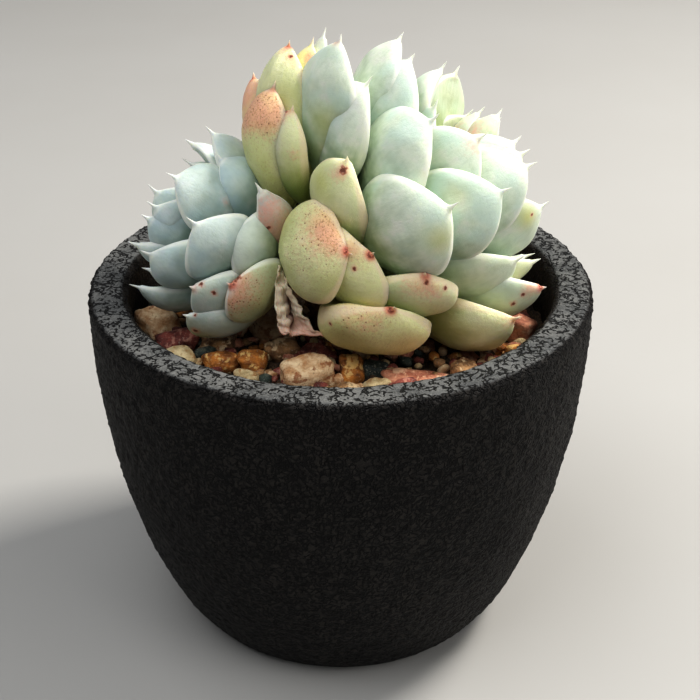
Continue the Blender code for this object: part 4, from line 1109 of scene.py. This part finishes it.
def stone_rings(stone, top, seed, rings=26, sides=34):
    """Distance to the surface in direction d: soft minimum of h / (d . n) over a box's and random planes."""
    draw = np.random.default_rng(seed)
    tilt, round_it = np.meshgrid((np.arange(rings) + 0.5) * np.pi / rings,
                                 np.arange(sides) * 2 * np.pi / sides, indexing="ij")
    ahead = np.stack([np.sin(tilt) * np.cos(round_it), np.sin(tilt) * np.sin(round_it), np.cos(tilt)], -1)
    ahead = np.concatenate([ahead.reshape(-1, 3), [[0, 0, 1], [0, 0, -1]]])
    planes = draw.normal(size=(STONE_PLANES, 3))
    planes /= np.linalg.norm(planes, axis=1, keepdims=True)
    planes[:6] = np.concatenate([np.eye(3), -np.eye(3)])
    height = draw.uniform(0.8, 1.0, STONE_PLANES)
    radius = ((np.maximum(ahead @ planes.T, 0.0) / height) ** STONE_EDGE).sum(-1) ** (-1 / STONE_EDGE)
    radius *= 1 + relief(ahead, (0.05, 1.3, seed + 7), (0.022, 0.45, seed + 9))
    x, y, z = (ahead * radius[:, None] * 0.5 * [stone.long, stone.wide, stone.tall]).T
    x, z = turn_pair(x, z, draw.uniform(-STONE_TILT, STONE_TILT))
    x, y = turn_pair(x, y, stone.turn)
    flatter = min(1.0, (top - SOIL_TOP - 2 * GAP) / (z.max() - z.min()))
    points = np.stack([x + stone.x, y + stone.y, (z - z.max()) * flatter + top], -1)
    return points[:-2].reshape(rings, sides, 3), (points[-2], points[-1])


# %% [markdown]
# ### Rock
# One group paints every rock: a slow mottle between two tones, veins of a third, and fine pale and dark
# grains. An image would repeat from stone to stone; here each stone has its own place in the pattern, and
# each rock its own tones.

# %% Rock finishes
ROCK_TONES = {                   # dark, light and vein
    "rock_maroon": ((84, 38, 34), (156, 84, 72), (186, 134, 116)),
    "rock_dark_green": ((30, 38, 36), (66, 78, 70), (96, 100, 88)),
    "rock_ochre": ((96, 52, 20), (200, 132, 60), (232, 196, 128)),
    "rock_tan": ((96, 66, 42), (186, 144, 98), (224, 198, 158)),
    "rock_cream": ((180, 158, 116), (226, 208, 166), (170, 130, 84)),
    "rock_beige": ((186, 138, 92), (240, 216, 178), (150, 92, 52)),
    "rock_pink": ((150, 88, 66), (214, 152, 122), (226, 188, 156)),
}

rock, wires, given = new_group("rock", {"Dark": COLOUR, "Light": COLOUR, "Vein": COLOUR}, FINISH_SOCKETS)
place = wires.moved(wires.place(), wires.mark("stone_place", "Vector"))
slow = wires.noise(place, 330.0, 4.0, 0.65)
grain = wires.noise(place, 2300.0)
layers = wires.noise(wires.stretched(place, (1.0, 0.35, 1.6)), 520.0)
wires.give(Color=wires.coats(given["Dark"], (wires.step(slow, 0.32, 0.68), given["Light"]),
                             (wires.step(layers, 0.54, 0.64, 0.0, 0.85), given["Vein"]),
                             (wires.step(grain, 0.56, 0.78, 0.0, 0.35), colour(236, 226, 206)),
                             (wires.step(grain, 0.25, 0.42, 0.45, 0.0), colour(34, 26, 20))),
           Roughness=wires.step(slow, 0.3, 0.7, 0.55, 0.85),
           Height=wires.plus(wires.times(slow, 0.8), wires.times(grain, 0.4)))


def rock_finish(name, tones):
    """One rock: the shared group with its own tones."""
    made, wires = new_material(name, Specular_IOR_Level=0.4)
    dark, light, vein = (colour(*tone) for tone in tones)
    out = wires.group(rock, Dark=dark, Light=light, Vein=vein)
    wires.give(Base_Color=out["Color"], Roughness=out["Roughness"],
               Normal=wires.bump(out["Height"], 0.0005, 0.9))
    return made


ROCKS = [rock_finish(name, tones) for name, tones in ROCK_TONES.items()]

# %% Lay the stones
STONE_NUMBER = 400               # seed of the first stone's shape
GRAIN_NUMBER = 2000              # the same for the grains


def lay(name, stones, tops, first, shift, *grid):
    """One mesh of many stones. Each has its own place in the rock's pattern, a shift from the one before."""
    batch = Batch()
    for number, (stone, top) in enumerate(zip(stones, tops)):
        rings, poles = stone_rings(stone, top, first + number, *grid)
        batch.add(rings, poles, finish=stone.rock, stone_place=(shift * number, 0.0, 0.0))
    batch.piece(name, ROCKS, "gravel")


stones = [*STONES_BY_HAND, *stones_by_rule(random.Random(STONE_SEED))]
tops = [min(GRIT_TOP + (1 - STONE_SINK) * s.tall, ceiling_over(s, 0.5 * s.long + 0.5) - 0.6) for s in stones]
lay("stones", stones, tops, STONE_NUMBER, 0.013)

# %% [markdown]
# ### Grit between the stones
# Between the stones lie grains of 2 to 4 mm in the same rocks. A particle system could strew them, but the
# function that shapes the stones also keeps them out of the soil. There are hundreds, so each has only a few
# dozen faces.

# %% Strew the grains
GRAIN_COUNT = 620
GRAIN_SEED = 23
GRAIN_LONG = (2.2, 4.4)          # a grain's length (mm)
GRAIN_WIDE = (0.6, 0.95)         # its width and height over its length
GRAIN_TALL = (0.5, 0.8)
GRAIN_OUT = (0.35, 0.75)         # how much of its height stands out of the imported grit

draw = random.Random(GRAIN_SEED)
grains, tops = [], []
for _ in range(GRAIN_COUNT):
    away = math.sqrt(draw.uniform((STEM_HOLE_RADIUS + 1.5) ** 2, (bed_wall - 2.2) ** 2))
    angle = draw.uniform(0, math.tau)
    long = draw.uniform(*GRAIN_LONG)
    grain = Stone(away * math.cos(angle), away * math.sin(angle), long, long * draw.uniform(*GRAIN_WIDE),
                  long * draw.uniform(*GRAIN_TALL), draw.uniform(0, 180), draw.randrange(7))
    grains.append(grain)
    tops.append(min(GRIT_TOP + draw.uniform(*GRAIN_OUT) * grain.tall, ceiling_over(grain, 0.5 * long) - 0.3))
lay("grit", grains, tops, GRAIN_NUMBER, 0.017, 5, 8)

# %% [markdown]
# ### The bed of sand
# Under the grit lies fine dark sand. It could be a flat disc with a bump, but light between the stones shows
# real dips, so one outline is swept round, like the pot's, and its top is lifted by lumps of two sizes.

# %% Lay the bed of sand
BED_RINGS = 70
BED_RELIEF = ((0.35, 2.2, 60), (0.4, 7.0, 61))

bed_outline = np.concatenate([level(STEM_HOLE_RADIUS, bed_wall, GRIT_TOP - 0.9, BED_RINGS),
                              level(bed_wall, STEM_HOLE_RADIUS, SOIL_TOP + GAP, 2)])
rings = turned(bed_outline, 220)
rings[:BED_RINGS, :, 2] += relief(rings[:BED_RINGS], *BED_RELIEF)
bed_batch = Batch()
bed_batch.add(rings)

sand_finish, wires = new_material("sand_finish", Roughness=0.95)
place = wires.place()
sand = wires.group(mottle, Vector=place, Scale=900.0, Dark=colour(30, 22, 16), Light=colour(84, 64, 46))
specks = wires.cells(place, 1700.0)
# Painted glints: pale specks where sand grains seem to catch the light.
painted_glints = wires.step(specks, 0.1, 0.5, 0.5, 0.0)
wires.give(Base_Color=wires.coats(sand["Color"], (painted_glints, colour(120, 94, 66))),
           Normal=wires.bump(specks, 0.0004, 1.0))
bed_batch.piece("sand_bed", [sand_finish], "gravel")

# %% [markdown]
# ## Potting soil
# The soil fills the pot under the grit and shows only through the drain hole. Crumbs could be modelled one by
# one; where they hardly show, the CAD solid stays and a cell texture gives its colour and bump.

# %% Soil
soil_finish, wires = new_material("soil_finish", Roughness=1.0)
place = wires.place()
crumbs = wires.cells(place, 520.0)
loam = wires.group(mottle, Vector=place, Scale=260.0, Dark=colour(24, 17, 12), Light=colour(66, 48, 34))
wires.give(Base_Color=wires.coats(loam["Color"], (wires.step(crumbs, 0.15, 0.6), colour(18, 13, 10))),
           Normal=wires.bump(wires.minus(1.0, crumbs), 0.0008, 1.0))
soil_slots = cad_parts["soil"].material_slots
for soil_slot in soil_slots:
    soil_slot.material = soil_finish
print("soil finish on", len(soil_slots), "slot")

# %% [markdown]
# ## The dry leaf
# An old leaf has dried to a folded, papery sheet that hangs between the heads and turns aside onto the
# stones. Cloth simulation could drop a sheet there, but not fold it as this one dried: a few given points
# give its folds, and a smooth surface runs through them and is crumpled by noise.

# %% Fold the dry leaf
DRY_LEAF = np.array([            # rows from the top down, columns from left to right (mm)
    [(-14.0, -16.0, 95.0), (-13.5, -15.0, 94.5), (-13.0, -15.0, 94.5), (-13.0, -15.5, 94.0)],
    [(-14.0, -18.5, 91.5), (-13.0, -17.5, 91.5), (-12.0, -16.5, 91.5), (-11.0, -18.0, 90.5)],
    [(-14.0, -20.5, 88.0), (-12.0, -19.5, 88.0), (-11.0, -17.5, 87.5), (-9.0, -20.0, 87.5)],
    [(-13.5, -21.5, 85.0), (-11.5, -20.5, 84.5), (-10.5, -18.0, 84.5), (-7.5, -20.5, 84.5)],
    [(-13.0, -22.0, 82.0), (-11.0, -21.0, 81.5), (-9.5, -20.0, 82.0), (-5.0, -21.0, 82.0)],
    [(-12.0, -22.5, 81.5), (-10.0, -21.5, 81.0), (-7.5, -22.0, 81.0), (0.0, -21.5, 80.0)]])
DRY_THICK = 0.5
DRY_RELIEF = ((0.35, 3.2, 80), (0.16, 1.3, 81))
DRY_ROWS, DRY_COLUMNS = 70, 44


def smooth_through(points, count, axis):
    """A cardinal spline (Hermite curve, slopes from the neighbours) through the points along one axis."""
    points = np.moveaxis(points, axis, 0)
    slope = np.gradient(points, axis=0)
    at = np.linspace(0, len(points) - 1, count)
    low = np.minimum(at.astype(int), len(points) - 2)
    part = (at - low).reshape((-1,) + (1,) * (points.ndim - 1))
    curve = ((2 * part ** 3 - 3 * part ** 2 + 1) * points[low]
             + (part ** 3 - 2 * part ** 2 + part) * slope[low]
             + (3 * part ** 2 - 2 * part ** 3) * points[low + 1]
             + (part ** 3 - part ** 2) * slope[low + 1])
    return np.moveaxis(curve, 0, axis)


sheet = smooth_through(smooth_through(DRY_LEAF, DRY_ROWS, 0), DRY_COLUMNS, 1)
face = np.cross(np.gradient(sheet, axis=0), np.gradient(sheet, axis=1))
face /= np.maximum(np.linalg.norm(face, axis=-1, keepdims=True), 1e-6)
sheet = sheet + face * relief(sheet, *DRY_RELIEF)[..., None]
row, column = np.meshgrid(np.arange(DRY_ROWS - 1), np.arange(DRY_COLUMNS - 1), indexing="ij")
corner = row * DRY_COLUMNS + column
quads = np.stack([corner, corner + 1, corner + DRY_COLUMNS + 1, corner + DRY_COLUMNS], -1).reshape(-1, 4)
dry_mesh = bpy.data.meshes.new("papery_leaf")
dry_mesh.from_pydata((sheet.reshape(-1, 3) * MM).tolist(), [], quads.tolist())
dry_mesh.polygons.foreach_set("use_smooth", np.ones(len(quads), bool))
down, over = np.meshgrid(np.linspace(0, 1, DRY_ROWS), np.linspace(0, 1, DRY_COLUMNS), indexing="ij")
slit = np.exp(-((over - 0.5) / 0.13) ** 2) * rise(down, 0.22, 0.4) * (1 - rise(down, 0.7, 0.85))
for mark, values in (("down", down), ("over", over), ("slit", slit)):
    numbers = values.ravel().astype(np.float32)
    dry_mesh.attributes.new(mark, "FLOAT", "POINT").data.foreach_set("value", numbers)

# %% [markdown]
# ### Papery skin
# The sheet is cream at the top and pinkish at the bottom, with fine brown veins running down it and a dark
# slit where its two halves fold in. An image could hold that; marks and a stretched noise stay sharp.

# %% Papery finish
dry_finish, wires = new_material("dry_finish", Roughness=0.75, Subsurface_Weight=0.15, Subsurface_Scale=0.001)
down = wires.mark("down")
across = wires.times(wires.mark("over"), 22.0)
veins = wires.noise(wires.node("CombineXYZ", {}, across, wires.times(down, 2.6))[0], 1.0)
blotch = wires.noise(wires.place(), 420.0, 4.0)
paper = wires.coats(colour(224, 204, 176), (wires.step(blotch, 0.35, 0.65), colour(244, 232, 210)),
                    (wires.step(down, 0.5, 0.95, 0.0, 0.7), colour(224, 172, 158)),
                    (wires.step(veins, 0.52, 0.74, 0.0, 0.6), colour(160, 110, 84)),
                    (wires.mark("slit"), colour(74, 34, 22)))
wires.give(Base_Color=paper, Normal=wires.bump(veins, 0.0004, 0.8))
dry_mesh.materials.append(dry_finish)
dry_leaf = in_scene("papery_leaf", dry_mesh)
thickness = dry_leaf.modifiers.new("thickness", "SOLIDIFY")
thickness.thickness = DRY_THICK * MM
thickness.offset = 0.0
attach(dry_leaf, "root")
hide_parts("dry_leaf")
print("papery leaf:", len(quads), "quads before its thickness")
